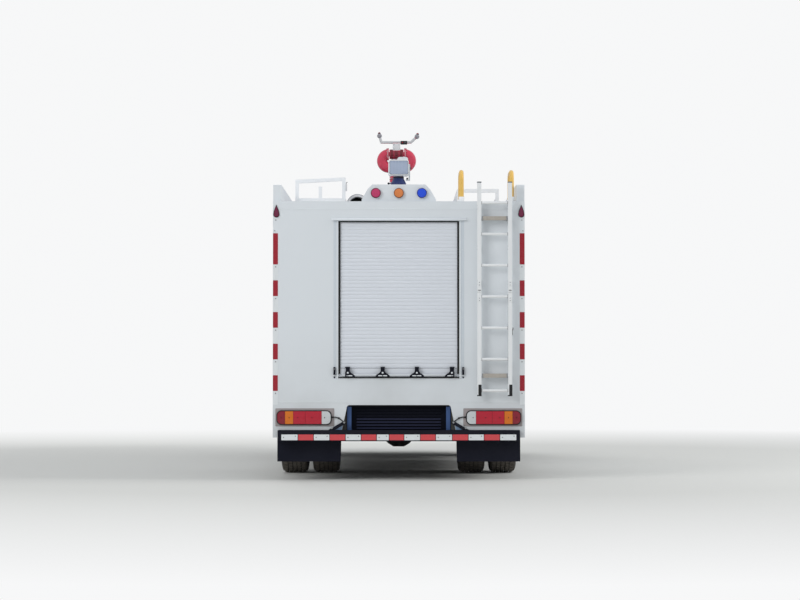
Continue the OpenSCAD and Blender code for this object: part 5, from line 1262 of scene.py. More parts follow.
light.hexagon((SEARCH_X + 0.119, SEARCH_Y - 0.010, 3.160), (1, 0, 0), 0.013, 0.0091, black_plastic)
light.hexagon((0.086, SEARCH_Y - 0.031, 3.050), BACK, 0.0105, 0.008, black_paint)
light.block(0.078, 0.094, SEARCH_Y - 0.030, SEARCH_Y + 0.008, 3.0415, 3.060, black_paint)
light.turned([(0, 0), (0.0255, 0), (0.0255, 0.003), (0.020, 0.006), (0, 0.006)], (0.045, 0.0605, 3.215), "y",
             black_rubber, 24, HEAD, -1)
light.block(-0.060, 0.060, 0.060, 0.0635, 3.095, 3.165, grey_plastic, 0.003, HEAD)
for k in range(6):
    z = 3.102 + 0.010 * k
    light.block(-0.052, 0.052, 0.0632, 0.065, z, z + 0.004, seam_gap, 0.0008, HEAD)
light.done("searchlight_head")

post = Workpiece("searchlight_post_details")
bolt_circle(post, (SEARCH_X, SEARCH_Y, DECK_Z + 0.012), UP, 0.098, 6, 0.009, 0.007, bare_steel)
post.turned(band(0.0555, 0.0570, 0.002, 0.009), (SEARCH_X, SEARCH_Y, 3.056), "z", black_rubber, 40)
post.turned(ball(0.0116), (SEARCH_X - 0.102, SEARCH_Y - 0.030, 3.001), "z", black_plastic, 20)
post.block(-0.030, 0.030, -0.0825, -0.076, 2.78, 2.86, navy_paint, where=HEAD)
for z in (2.79, 2.85):
    post.screw((SEARCH_X, SEARCH_Y - 0.0825, z), BACK, 0.005, bare_steel)
post.done("chassis")
print("searchlight detailed")

# %% [markdown]
# On the deck lies the suction tube, spiral-ribbed grey plastic with a white collar and a black seal at each end,
# held by straps with buckles. Its rib is one thin tube drawn along a spiral, just as the real one is wound. The
# handrails stand in white sockets bolted through the deck.

# %% Suction tube and handrail feet
TUBE_X, TUBE_Z, TUBE_Y0, TUBE_Y1 = -0.427, 2.79, -3.10, -0.90
RIB_PITCH = 0.046
COLLAR = [(0.1085, 0), (0.1142, 0.003), (0.1142, 0.018), (0.1125, 0.021), (0.1125, 0.038), (0.1142, 0.041),
          (0.1142, 0.057), (0.1085, 0.060)]


def ring_face(inner, outer, thick=0.0006):
    return [(inner, 0), (outer, 0), (outer, thick), (inner, thick)]


suction = Workpiece("suction_tube_details")
coil = []
turns = int((TUBE_Y1 - TUBE_Y0 - 0.16) / RIB_PITCH)
for k in range(turns * 24 + 1):
    a = 2 * math.pi * k / 24
    coil.append((TUBE_X + 0.1062 * math.cos(a), TUBE_Y0 + 0.08 + RIB_PITCH * k / 24, TUBE_Z + 0.1062 * math.sin(a)))
suction.tube(coil, 0.0042, tube_grey, 6)
for y in (TUBE_Y0, TUBE_Y1 - 0.06):
    suction.turned(COLLAR, (TUBE_X, y, TUBE_Z), "y", white_paint, 56, flip=-1)
    for k in range(4):
        lug = placed((TUBE_X, y + 0.03, TUBE_Z), 45 + 90 * k)
        suction.block(-0.012, 0.012, -0.012, 0.012, 0.108, 0.1148, bare_steel, where=lug)
for y in (TUBE_Y0 - 0.0006, TUBE_Y1):
    for inner, outer, finish in ((0.0805, 0.086, black_rubber), (0.0862, 0.1085, pale_casting)):
        suction.turned(ring_face(inner, outer), (TUBE_X, y, TUBE_Z), "y", finish, flip=-1)
# The bore inside the tube is near-black painted shade.
suction.turned([(0.0798, 0.03), (0.0798, 2.17)], (TUBE_X, TUBE_Y0, TUBE_Z), "y", painted_shade_black, flip=-1)
for y in (-2.77, -1.27):
    for w in (-0.012, -0.004, 0.004, 0.012):
        strap = [(TUBE_X + 0.1115 * math.cos(a), y + w, TUBE_Z + 0.1115 * math.sin(a))
                 for a in (math.radians(d) for d in range(-20, 201, 10))]
        suction.tube(strap, 0.0028, black_rubber, 6)
    buckle = Matrix.Translation((TUBE_X, y, TUBE_Z))
    suction.block(-0.020, 0.020, -0.018, 0.018, 0.1105, 0.1142, bare_steel, 0.001, buckle)
suction.done("chassis")

SOCKET = [(0.0272, 0), (0.0285, 0.003), (0.0285, 0.134), (0.0272, 0.138), (0.0232, 0.141)]
feet = Workpiece("handrail_feet")
for x in (0.625, 1.125):
    for y in (-4.00, -3.58):
        # The sockets take the whiter copy of the body paint, as painted sunlight.
        feet.turned(SOCKET, (x, y, DECK_Z + 0.008), "z", white_with_painted_sunlight, 32)
        feet.block(x - 0.0422, x + 0.0422, y - 0.0422, y + 0.0422, DECK_Z + 0.001, DECK_Z + 0.0088, white_paint, 0.0015)
        for dx in (-0.032, 0.032):
            for dy in (-0.032, 0.032):
                feet.hexagon((x + dx, y + dy, DECK_Z + 0.0088), UP, 0.007, 0.005, bare_steel)
feet.done("chassis")
print("suction tube with", turns, "turns of its rib")

# %% [markdown]
# Seats: foam under cloth swells between its seams. A rounded block is given even faces, then blown up by the
# cloth solver with gravity off. A cap holds every point back, so the cushion keeps to its real size. The stitched
# channels are pressed in afterwards, and a piping cord is laid along the edge that the solver left.

# %% Stuffed cushions
from mathutils.bvhtree import BVHTree

CAB_FLOOR = 1.19
SEAT_PLACES = [(s * 0.82, 3.048) for s in BOTH] + [(0.545 * i, 1.41) for i in (-1.5, -0.5, 0.5, 1.5)]
SWELL_CAP = 0.014
SWELL_FRAMES = 20
SEAM_DEPTH, SEAM_WIDTH = 0.009, 0.010


def swollen(pad):
    """Where the points of a closed pad are after pressure has blown it up."""
    cloth = pad.modifiers.new("swell", "CLOTH")
    cloth.settings.use_pressure = True
    cloth.settings.uniform_pressure_force = 4
    cloth.settings.effector_weights.gravity = 0
    cloth.point_cache.frame_start, cloth.point_cache.frame_end = 1, SWELL_FRAMES
    for number in range(1, SWELL_FRAMES + 1):
        scene.frame_set(number)
    graph = bpy.context.evaluated_depsgraph_get()
    blown = [v.co.copy() for v in pad.evaluated_get(graph).data.vertices]
    pad.modifiers.clear()
    scene.frame_set(1)
    return blown


def stuffed(name, size, corner, face, channels):
    """A stuffed block about its own middle. face is (axis, side), and channels are (axis, place) lines on it."""
    form = bmesh.new()
    bmesh.ops.create_cube(form, size=1)
    for v in form.verts:
        v.co = Vector([c * (d - 2 * SWELL_CAP) for c, d in zip(v.co, size)])
    bmesh.ops.bevel(form, geom=form.edges[:], offset=corner, segments=3, profile=0.6, affect="EDGES")
    block_mesh = bpy.data.meshes.new(name + "_block")
    form.to_mesh(block_mesh)
    form.free()
    pad = added(name, block_mesh)
    even = pad.modifiers.new("even_faces", "REMESH")
    even.mode, even.voxel_size = "VOXEL", 0.010
    graph = bpy.context.evaluated_depsgraph_get()
    mesh = bpy.data.meshes.new_from_object(pad.evaluated_get(graph))
    pad.modifiers.clear()
    pad.data = mesh
    start = [v.co.copy() for v in mesh.vertices]
    blown = swollen(pad)
    axis, side = face
    for v, was, now in zip(mesh.vertices, start, blown):
        move = now - was
        spot = was + move * min(1.0, SWELL_CAP / max(move.length, 1e-9))
        if spot[axis] * side > 0:
            pressed = sum(math.exp(-((spot[along] - at) / SEAM_WIDTH) ** 2) for along, at in channels)
            spot[axis] -= side * SEAM_DEPTH * min(pressed, 1.0)
        v.co = Vector([max(-d / 2, min(d / 2, c)) for c, d in zip(spot, size)])
    mesh.polygons.foreach_set("use_smooth", [True] * len(mesh.polygons))
    scene.collection.objects.unlink(pad)
    return mesh


cushion = stuffed("cushion", (0.478, 0.498, 0.146), 0.028, (2, 1), [(0, -0.155), (0, 0.155), (1, 0.10), (1, -0.06)])
backrest = stuffed("backrest", (0.478, 0.128, 0.612), 0.026, (1, 1), [(0, -0.155), (0, 0.155), (2, -0.12), (2, 0.10)])
headrest = stuffed("headrest", (0.236, 0.096, 0.172), 0.022, (1, 1), [(2, 0)])
print("cushions of", len(cushion.polygons), len(backrest.polygons), len(headrest.polygons), "faces")

# %% [markdown]
# All six seats are alike, so each pad is made once and copied. The pads stand for the plain seats of the packed
# model. The frame, the slides and the recliner's covers are hard, so they are in a piece of their own.

# %% Seats in the cab
# Each pad: name, mesh, its middle above the seat's place on the floor, how full it is
SEAT_PARTS = [("cushion", cushion, (0, 0.270, 0.365), 0.7), ("backrest", backrest, (0, 0.066, 0.750), 0.7),
              ("headrest", headrest, (0, 0.060, 1.152), 0.8)]
HINGE = [(0.020, 0.640), (0.020, 0.430), (0.060, 0.240), (0.300, 0.240), (0.310, 0.285), (0.160, 0.350), (0.115, 0.450),
         (0.100, 0.640), (0.060, 0.665)]


def seam_path(data, level):
    """Points close together along a pad's edge: round its top if it lies down, round its front if it stands."""
    low = [min(v.co[k] for v in data.vertices) for k in range(3)]
    high = [max(v.co[k] for v in data.vertices) for k in range(3)]
    if level:
        loop = [(a, b, high[2] - 0.022) for a, b in rounded(low[0], high[0], low[1], high[1], 0.05, 5)]
    else:
        loop = [(a, high[1] - 0.018, b) for a, b in rounded(low[0], high[0], low[2], high[2], 0.05, 5)]
    tree = BVHTree.FromPolygons([v.co for v in data.vertices], [p.vertices for p in data.polygons])
    path = []
    for p, q in zip(loop, loop[1:] + loop[:1]):
        steps = max(1, int((Vector(q) - Vector(p)).length / 0.04))
        for k in range(steps):
            near, normal, _, _ = tree.find_nearest(Vector(p).lerp(Vector(q), k / steps))
            path.append(near - normal * 0.0012)
    return path


piping = Workpiece("seat_piping")
bases = Workpiece("seat_bases")
for number, (x, y) in enumerate(SEAT_PLACES):
    for part, mesh, middle, fill in SEAT_PARTS:
        data = mesh.copy()
        data.transform(Matrix.Translation(Vector((x, y, CAB_FLOOR)) + Vector(middle)))
        data.materials.clear()
        data.materials.append(seat_cloth.material)
        piece = added(f"seat_{number + 1}_{part}", data)
        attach(piece, "chassis")
        piping.tube(seam_path(data, part == "cushion"), 0.0034, seat_vinyl, 6, closed=True)
    seat = Matrix.Translation((x, y, CAB_FLOOR))
    bases.sheet(-0.215, 0.215, 0.020, 0.286, 0.02, 3, 0.075, 0.405, grey_plastic, 0.006, seat)
    for k in range(5):
        z = 0.060 + 0.042 * k
        bases.block(-0.222, 0.222, 0.068, 0.412, z, z + 0.014, black_rubber, 0.005, seat)
    for s in BOTH:
        bases.block(s * 0.150 - 0.02, s * 0.150 + 0.02, 0.04, 0.44, 0, 0.020, bare_steel, 0.003, seat)
        bases.tube([(s * 0.06, 0.06, 1.02), (s * 0.06, 0.06, 1.10)], 0.006, chrome, 10, where=seat)
        bases.prism(HINGE, "x", s * 0.2405, s * 0.2495, black_plastic, 0.003, seat)
        bases.tube([(s * 0.2300, 0.066, 0.470), (s * 0.2530, 0.066, 0.470)], 0.020, grey_plastic, 16, where=seat)
        bases.block(s * 0.2100, s * 0.2420, 0.10, 0.28, 0.245, 0.275, black_plastic, 0.003, seat)
piping.done("chassis")
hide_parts("cab_seats")
bases.done("chassis")

# %% [markdown]
# The driver's place starts with the steering wheel: a padded rim with two thicker grips, three spokes, a plain boss
# without a sign, and a stalk at each side. A torus could be the rim, but a closed tube can also leave out or thicken
# a part of it. Rim, spokes and stalks are laid out flat, and one matrix tilts them all.

# %% Steering wheel
steering = placed((-0.82, 3.72, 1.74), 55, "X")

dash = Workpiece("dash_details")
dash.tube(moved(steering, [(x, y, 0) for x, y in circle(0.205, 56)]), 0.0172, black_rubber, 12, closed=True)
for middle in (20, 160):
    angles = [math.radians(middle - 18 + 3 * k) for k in range(13)]
    grip_path = [(0.205 * math.cos(a), 0.205 * math.sin(a), 0) for a in angles]
    dash.tube(moved(steering, grip_path), 0.0192, seat_vinyl, 12)
boss = [(0, -0.016), (0.061, -0.016), (0.064, -0.008), (0.064, 0.010), (0.056, 0.0175), (0, 0.0195)]
dash.spun(boss, steering, dash_plastic, 40)
dash.spun([(0.030, 0.0192), (0.032, 0.0202), (0.034, 0.0192)], steering, chrome, 36)
for degrees in (-30, 90, 210):
    spoke = steering @ placed((0, 0, 0), degrees, "Z")
    dash.block(0.060, 0.192, -0.0155, 0.0155, -0.0095, 0.0075, dash_plastic, 0.004, spoke)
    dash.block(0.075, 0.175, -0.005, 0.005, 0.0072, 0.0085, grey_plastic, 0.001, spoke)
for s in BOTH:
    stalk = [(s * 0.03, 0, -0.055), (s * 0.10, 0.01, -0.050), (s * 0.165, 0.02, -0.035)]
    dash.tube(moved(steering, stalk), 0.0065, black_plastic, 10)
print("steering wheel stands at", [round(c, 3) for c in steering.translation])

# %% [markdown]
# Two large dials and a small one, rows of rocker switches, air vents and pedals are the same few forms many times
# over, so their places are listed and loops make them. They are real blocks, because bump alone would look flat
# through a side window. Nothing carries a sign.

# %% Dials, switches and pedals
DASH_Y = 3.78
# Each dial: place across, height, radius
DIALS = ((-0.90, 1.700, 0.048), (-0.76, 1.700, 0.048), (-0.83, 1.652, 0.026))
# Each row of switches: start, height, number
SWITCH_ROWS = ((-0.60, 1.615, 9), (-0.60, 1.555, 9), (0.35, 1.60, 7))
for x, z, r in DIALS:
    tilt = placed((x, DASH_Y + 0.016, z), 22, "X") @ AXIS_TURN["y"]
    dash.spun([(0, 0), (r, 0), (r, 0.006), (r - 0.004, 0.008), (r - 0.005, 0.004), (0, 0.004)], tilt,
              black_plastic, 36)
    for k in range(9):
        mark = tilt @ placed((0, 0, 0), 30 * k - 210, "Z")
        dash.block(r * 0.70, r * 0.84, -0.0007, 0.0007, 0.0040, 0.0046, white_paint, 0, mark)
    dash.block(0, r * 0.66, -0.001, 0.001, 0.0044, 0.0052, red_lens, 0, tilt @ Matrix.Rotation(2.4, 4, "Z"))
for start, z, count in SWITCH_ROWS:
    for k in range(count):
        x = start + 0.05 * k
        dash.block(x, x + 0.034, DASH_Y - 0.002, DASH_Y + 0.03, z, z + 0.044, black_plastic, 0.003)
        dash.block(x + 0.006, x + 0.028, DASH_Y - 0.0045, DASH_Y, z + 0.020, z + 0.040, grey_plastic)
for x in (-1.05, -0.10, 0.25, 0.95):
    dash.block(x - 0.06, x + 0.06, DASH_Y - 0.001, DASH_Y + 0.03, 1.535, 1.595, black_plastic, 0.006)
    for k in range(5):
        z = 1.542 + 0.010 * k
        dash.block(x - 0.052, x + 0.052, DASH_Y - 0.004, DASH_Y + 0.02, z, z + 0.0025, dash_plastic, 0.001)
dash.sheet(0.52, 1.08, 1.53, 1.60, 0.012, 3, DASH_Y - 0.002, DASH_Y + 0.03, dash_plastic, 0.002)
for x in (-0.95, -0.80, -0.67):
    dash.tube([(x, 3.93, 1.50), (x, 3.90, 1.35), (x, 3.86, 1.28)], 0.008, black_paint, 8)
    pedal = placed((x, 3.85, 1.27), -35, "X")
    dash.block(-0.035, 0.035, -0.006, 0.006, -0.05, 0.05, black_rubber, 0.003, pedal)
    for k in range(5):
        z = 0.018 * k - 0.040
        dash.block(-0.030, 0.030, -0.009, -0.005, z, z + 0.006, black_rubber, 0.001, pedal)
dash.done("chassis")
print("dash has", len(DIALS), "dials and", sum(row[2] for row in SWITCH_ROWS), "switches")

# %% [markdown]
# The cab's front leans back a little, so its trim is laid out flat and then tilted by one matrix. The rubber seal
# that holds a windscreen is a profile pulled round the opening, which is what a closed tube does. The wipers rest
# on the glass.

# %% Windscreen and wipers
CAB_FRONT_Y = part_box("cab_ends")[1].y
LEAN = math.atan2(0.12, 0.92)
SCREEN_FOOT = 1.74
SCREEN = Matrix.Translation((0, CAB_FRONT_Y, SCREEN_FOOT)) @ Matrix.Rotation(LEAN, 4, "X")


def up_screen(z):
    """The height z as a distance up the leaning front."""
    return (z - SCREEN_FOOT) / math.cos(LEAN)


trim = Workpiece("cab_front_trim")
loop = rounded(-1.092, 1.092, up_screen(1.803), up_screen(2.597), 0.06, 8)
trim.tube([(x, -0.001, z) for x, z in loop], 0.0125, black_rubber, 10, closed=True, where=SCREEN)
trim.tube([(x * 0.9965, 0.008, z) for x, z in loop], 0.0036, grey_plastic, 8, closed=True, where=SCREEN)
for x in (-0.62, 0.22):
    trim.turned([(0.022, -0.004), (0.022, 0.006), (0.015, 0.014), (0, 0.016)], (x, 0, up_screen(1.768)), "y",
                black_plastic, 20, where=SCREEN, flip=-1)
    arm = [(x, 0.016, 1.768), (x + 0.06, 0.020, 1.785), (x + 0.26, 0.014, 1.865), (x + 0.40, 0.000, 1.905)]
    trim.tube([(a, b, up_screen(z)) for a, b, z in arm], 0.0055, black_paint, 8, where=SCREEN)
    blade = SCREEN @ placed((x + 0.40, -0.012, up_screen(1.900)), -3)
    trim.block(-0.34, 0.34, -0.004, 0.004, -0.004, 0.008, black_plastic, where=blade)
    trim.block(-0.34, 0.34, -0.0095, -0.003, -0.0012, 0.0012, black_rubber, 0, blade)
    for k in (-0.22, 0.22):
        trim.block(k - 0.03, k + 0.03, 0.002, 0.010, -0.002, 0.006, black_plastic, where=blade)
print("front leans", round(math.degrees(LEAN), 2), "degrees")

# %% [markdown]
# The grille is a row of thin bars before a dark opening, so each bar is real and the dark between them is depth.
# Above the windscreen, five small marker lamps follow the slope of the roof's edge.

# %% Grille and roof lamps
ROOF_SLOPE = math.atan2(0.16, 0.29)
GRILLE_BARS = 29
for k in range(GRILLE_BARS):
    x = 0.049 * k - 0.686
    trim.block(x - 0.003, x + 0.003, CAB_FRONT_Y + 0.010, CAB_FRONT_Y + 0.024, 1.200, 1.640, black_plastic, 0.001)
grille_edge = [(x, CAB_FRONT_Y + 0.010, z) for x, z in rounded(-0.762, 0.762, 1.168, 1.662, 0.05, 6)]
trim.tube(grille_edge, 0.006, grey_plastic, 8, closed=True)
for x in (-0.80, -0.28, 0.28, 0.80):
    trim.screw((x, 4.1195, 1.08), AHEAD, 0.009, bare_steel)
for x in (-0.98, -0.30, 0.0, 0.30, 0.98):
    lamp = Matrix.Translation((x, 3.925, 2.80)) @ Matrix.Rotation(ROOF_SLOPE, 4, "X")
    trim.tile(0.050, 0.014, 0.013, 4, -0.004, 0.006, black_rubber, 0.002, lamp)
    trim.tile(0.042, 0.009, 0.008, 4, 0.004, 0.014, amber_lens, 0.004, lamp)
trim.done("chassis")
print("grille has", GRILLE_BARS, "bars, roof lamps lean", round(math.degrees(ROOF_SLOPE), 1), "degrees")

# %% [markdown]
# A headlamp is a bowl that sends a bulb's light forward, closed by clear glass. The bowl is turned from a curved
# profile and left open at the front, so the reflection inside it is real and not painted.

# %% Headlamps and the bumper's fittings
LAMP_Z = 0.62
PLATE_Y = 4.1545
fit = Workpiece("bumper_fittings")
for s in BOTH:
    for x, r in ((0.89, 0.070), (1.03, 0.060)):
        bowl = [(0.012, 0.0012)] + [(r * t, 0.0012 + 0.0235 * t * t) for t in (0.35, 0.55, 0.75, 0.9, 0.975)]
        bulb = [(0, 0.020), (0.006, 0.0195), (0.009, 0.015), (0.009, 0.002)]
        glass = [(0, 0.0285), (r * 0.6, 0.0278), (r * 0.985, 0.0262), (r * 0.985, 0.0240)]
        ring = [(r * 0.965, 0.0250), (r * 0.972, 0.0300), (r + 0.004, 0.0300), (r + 0.004, 0.0275)]
        for profile, finish, steps in ((bowl, reflector, 40), (bulb, clear_lens, 20), (glass, lamp_glass, 40),
                                       (ring, chrome, 40)):
            fit.turned(profile, (s * x, 4.16, LAMP_Z), "y", finish, steps, flip=-1)
    fit.sheet(s * 1.106 - 0.008, s * 1.106 + 0.008, 0.560, 0.680, 0.007, 4, 4.186, 4.1965, amber_lens, 0.003)
    for x in (0.802, 1.106):
        for z in (0.532, 0.708):
            fit.screw((s * x, 4.1878, z), AHEAD, 0.006, bare_steel)
    fit.sheet(s * 0.62 - 0.055, s * 0.62 + 0.055, 0.455, 0.505, 0.02, 5, 4.194, 4.1995, black_plastic, 0.002)
fit.sheet(-0.262, 0.262, 0.512, 0.628, 0.012, 4, 4.1495, 4.1525, black_plastic, 0.001)
fit.sheet(-0.255, 0.255, 0.517, 0.623, 0.010, 4, 4.152, PLATE_Y, white_paint, 0.001)
plate_edge = [(x, PLATE_Y, z) for x, z in rounded(-0.248, 0.248, 0.523, 0.617, 0.008, 4)]
fit.tube(plate_edge, 0.0022, white_paint, 6, closed=True)
for x in (-0.17, 0.17):
    fit.screw((x, PLATE_Y, 0.600), AHEAD, 0.007, bare_steel)
for x in (-0.385, 0.385):
    for z in (1.00, 1.10):
        fit.hexagon((x, 4.159, z), AHEAD, 0.013, 0.009, bare_steel)
fit.done("chassis")
print("headlamps at", round(LAMP_Z, 2), "m")

# %% [markdown]
# Doors: each window sits in a rubber channel, and each handle is a bar over a dark cup. These pieces ride on the
# door's own body, so they swing with it. The seal that closes the gap is fixed to the cab instead, as on most
# lorries, so it stays behind when the door opens.

# %% Doors, seals and grab handles
# Each door row: its rear and front edge, then its window's
DOOR_PLACES = {"front": (3.020, 3.960, 3.110, 3.880), "crew": (1.400, 2.340, 1.480, 2.250)}
CAB_SIDE = 1.245


def window_seal(piece, s, y0, y1):
    loop = rounded(y0, y1, 1.802, 2.598, 0.045, 6)
    piece.tube([(s * (CAB_SIDE - 0.002), y, z) for y, z in loop], 0.0085, black_rubber, 10, closed=True)


for side, s in zip(SIDES, BOTH):
    for row, (y0, y1, w0, w1) in DOOR_PLACES.items():
        fit = Workpiece(f"door_fittings_{row}_{side}")
        window_seal(fit, s, w0 + 0.002, w1 - 0.002)
        fit.block(s * 1.2305, s * 1.2330, y0 + 0.073, y0 + 0.227, 1.553, 1.627, black_plastic, 0)
        handle = [(1.233, 0.082), (1.2455, 0.094), (1.2455, 0.206), (1.233, 0.218)]
        fit.tube([(s * x, y0 + y, 1.603) for x, y in handle], 0.0105, black_plastic, 12)
        lock = placed((s * (CAB_SIDE - 0.0005), y0 + 0.262, 1.590), 90 * s)
        fit.spun([(0, 0.0035), (0.008, 0.0035), (0.0105, 0)], lock, chrome, 20)
        fit.block(s * 1.174, s * 1.186, y0 + 0.07, y1 - 0.07, 1.27, 1.74, cab_trim, 0.006)
        fit.block(s * 1.150, s * 1.176, y0 + 0.25, y1 - 0.18, 1.50, 1.54, dash_plastic, 0.01)
        pull = [(1.174, 0.30), (1.152, 0.32), (1.152, 0.44), (1.174, 0.46)]
        fit.tube([(s * x, y0 + y, 1.66) for x, y in pull], 0.007, chrome, 10)
        for z in (1.43, 2.38):
            for dy in (-0.075, -0.045):
                fit.screw((s * (CAB_SIDE - 0.0005), y1 + dy, z), (s, 0, 0), 0.006, chrome)
        fit.done(f"door_{row}_{side}")

GRAB_RAIL = [(1.243, 1.36), (1.285, 1.375), (1.292, 1.40), (1.292, 2.20), (1.285, 2.225), (1.243, 2.24)]
DRIP_EDGE = [(1.240, 1.33, 2.728), (1.249, 1.36, 2.732), (1.249, 3.93, 2.732), (1.240, 3.955, 2.728)]
fit = Workpiece("cab_side_fittings")
for s in BOTH:
    window_seal(fit, s, 2.452, 2.908)
    for y0, y1, _, _ in DOOR_PLACES.values():
        for a, b, low, high in ((y0 - 0.014, y0 + 0.020, 1.176, 2.714), (y1 - 0.020, y1 + 0.014, 1.176, 2.714),
                                (y0, y1, 2.684, 2.714), (y0, y1, 1.192, 1.212)):
            fit.block(s * 1.166, s * 1.178, a, b, low, high, black_rubber, 0.003)
    for y in (2.966, 1.352):
        fit.tube([(s * x, y, z) for x, z in GRAB_RAIL], 0.0125, yellow_paint, 14)
        for z in (1.36, 2.24):
            flange = placed((s * 1.2445, y, z), 90 * s)
            fit.spun([(0, 0.004), (0.024, 0.004), (0.026, 0)], flange, yellow_paint, 20)
    fit.tube([(s * x, y, z) for x, y, z in DRIP_EDGE], 0.0065, white_paint, 8)
    repeater = placed((s * 1.244, 4.0, 1.34), -90 * s, "Z")
    fit.tile(0.042, 0.020, 0.018, 5, 0, 0.006, black_rubber, 0.002, repeater)
    fit.tile(0.036, 0.014, 0.013, 5, 0.004, 0.016, amber_lens, 0.005, repeater)
fit.done("chassis")
print(2 * len(DOOR_PLACES), "doors fitted")

# %% [markdown]
# Mirror housings are moulded plastic with two glasses: a tall one, and below it a short one for the wide view. Each
# glass is a thin sheet in a slightly larger dark one, which reads as its gasket. The roof's light bar keeps its
# solid shape, and its dark foot, clear middle and thin seams are masks in one finish.

# %% Mirrors and light bar
MIRRORS = Matrix.Translation((0, 3.98, 0))
fit = Workpiece("mirror_fittings")
for s in BOTH:
    x0, x1 = sorted((s * 1.332, s * 1.498))
    for z0, z1 in ((2.095, 2.562), (1.918, 2.075)):
        fit.sheet(x0 - 0.004, x1 + 0.004, z0 - 0.004, z1 + 0.004, 0.03, 5, -0.002, 0.004, seam_gap, 0, MIRRORS)
        fit.sheet(x0, x1, z0, z1, 0.027, 5, -0.0045, 0.002, mirror_glass, 0.0015, MIRRORS)
    for z in (1.96, 2.52):
        arm_foot = placed((s * 1.2445, 4.025, z), 90 * s)
        fit.spun([(0.026, 0), (0.026, 0.008), (0.019, 0.014), (0.015, 0.014)], arm_foot, black_plastic, 24)
        for dz in (-0.018, 0.018):
            fit.screw((s * 1.2525, 4.025, z + dz), (s, 0, 0), 0.004, bare_steel)
fit.done("chassis")

BAR_BLUE = srgb(22, 60, 200)
bar_finish = lens("light_bar_lens", BAR_BLUE, 0.02, 0.05)
bar_x, _, bar_z = bar_finish.axes()
clear_middle = abs(bar_x) < 0.17
bar_foot = bar_z < 3.012
seams = ((abs(bar_x) % 0.17) < 0.005) * (bar_z > 3.012)
coloured = bar_finish.mix(clear_middle, BAR_BLUE, srgb(206, 214, 222))
bar_finish.set("Base Color", bar_finish.mix((bar_foot + seams).lowest(1.0), coloured, srgb(20, 22, 26)))
dress(bar_finish, "light_bar")

fit = Workpiece("light_bar_fittings")
for s in BOTH:
    for y in (3.29, 3.43):
        fit.hexagon((s * 0.52, y, 2.949), UP, 0.010, 0.010, bare_steel)
    fit.block(s * 0.52 - 0.05, s * 0.52 + 0.05, 3.25, 3.47, 2.948, 2.953, black_rubber)
fit.tube([(0.30, 3.215, 3.005), (0.31, 3.16, 2.985), (0.31, 3.12, 2.958), (0.31, 3.08, 2.949)], 0.008, black_rubber, 10)
fit.turned([(0.020, 0), (0.020, 0.010), (0.012, 0.016), (0, 0.018)], (0.31, 3.08, 2.949), "z", black_rubber, 24)
fit.done("chassis")
print("mirrors and light bar fitted")

# %% [markdown]
# Along both flanks the shutters sit in thin aluminium frames, and a lift bar runs across each one's foot. Rivets
# hold the sheet at its top and at its joints. The shutters differ only in size, so one function frames them all,
# and another makes the small service panel ahead of the rear wheels.

# %% Frames for the flank shutters
# Each shutter: rear edge, front edge, foot
SHUTTER_ROWS = [(-3.95, -3.05, 0.86), (-2.90, -1.60, 1.22), (-0.35, 0.95, 0.86)]
SHUTTER_TOP = 2.50


def shutter_frame(piece, s, y0, y1, z0):
    """The frame round one shutter of a flank, with its lift bar, its lock and its rivets."""
    for a, b, low, high in ((y0 - 0.030, y0 + 0.004, z0 - 0.004, SHUTTER_TOP + 0.030),
                            (y1 - 0.004, y1 + 0.030, z0 - 0.004, SHUTTER_TOP + 0.030),
                            (y0 + 0.004, y1 - 0.004, SHUTTER_TOP - 0.004, SHUTTER_TOP + 0.030),
                            (y0 + 0.004, y1 - 0.004, z0 - 0.030, z0 + 0.004)):
        piece.block(s * (HALF_W - 0.002), s * (HALF_W + 0.003), a, b, low, high, rail_metal, 0.001)
    bar_z = z0 + 0.050
    piece.tube([(s * (HALF_W - 0.001), y, bar_z) for y in (y0 + 0.05, y1 - 0.05)], 0.0095, bright_bar, 12)
    for k in range(4):
        y = y0 + 0.06 + (y1 - y0 - 0.12) * k / 3
        piece.block(s * (HALF_W - 0.0125), s * (HALF_W + 0.002), y - 0.016, y + 0.016, bar_z - 0.017, bar_z + 0.017,
                    black_plastic, 0.003)
    lock = placed((s * (HALF_W - 0.0125), (y0 + y1) / 2, z0 + 0.115), 90 * s)
    piece.spun([(0, 0.006), (0.013, 0.006), (0.016, 0)], lock, chrome, 24)
    for z in (z0 + 0.15, (z0 + SHUTTER_TOP) / 2, SHUTTER_TOP - 0.10):
        for y in (y0 - 0.015, y1 + 0.015):
            piece.screw((s * (HALF_W + 0.003), y, z), (s, 0, 0), 0.0042, bare_steel)


def service_panel(piece, spot, wide, high):
    """A small door in the flank with two hinges, a pull and a lock."""
    piece.tile(wide / 2 + 0.003, high / 2 + 0.003, 0.02, 5, -0.001, 0.0006, seam_gap, 0, spot)
    piece.tile(wide / 2, high / 2, 0.018, 5, -0.001, 0.004, white_paint, 0.0015, spot)
    for dz in (-0.15, 0.15):
        hinge = [(-wide / 2 - 0.004, 0.004, dz - 0.03), (-wide / 2 - 0.004, 0.004, dz + 0.03)]
        piece.tube(hinge, 0.006, bare_steel, 10, where=spot)
    piece.sheet(wide / 2 - 0.075, wide / 2 - 0.025, -0.035, 0.035, 0.012, 4, 0.003, 0.008, black_plastic, 0.002, spot)
    lock = [(0, 0.008), (0.012, 0.007), (0.014, 0)]
    piece.turned(lock, (wide / 2 - 0.05, 0.007, 0), "y", chrome, 20, where=spot, flip=-1)


print("each flank has", len(SHUTTER_ROWS), "shutters under", SHUTTER_TOP, "m")

# %% [markdown]
# Both flanks are one piece: the frames, the sheet's seams and rivets, a rubber lip round the wheel arch, tape on the
# skirt, amber side lamps and the lamps that light the ground. A loop over -1 and 1 makes both sides alike.

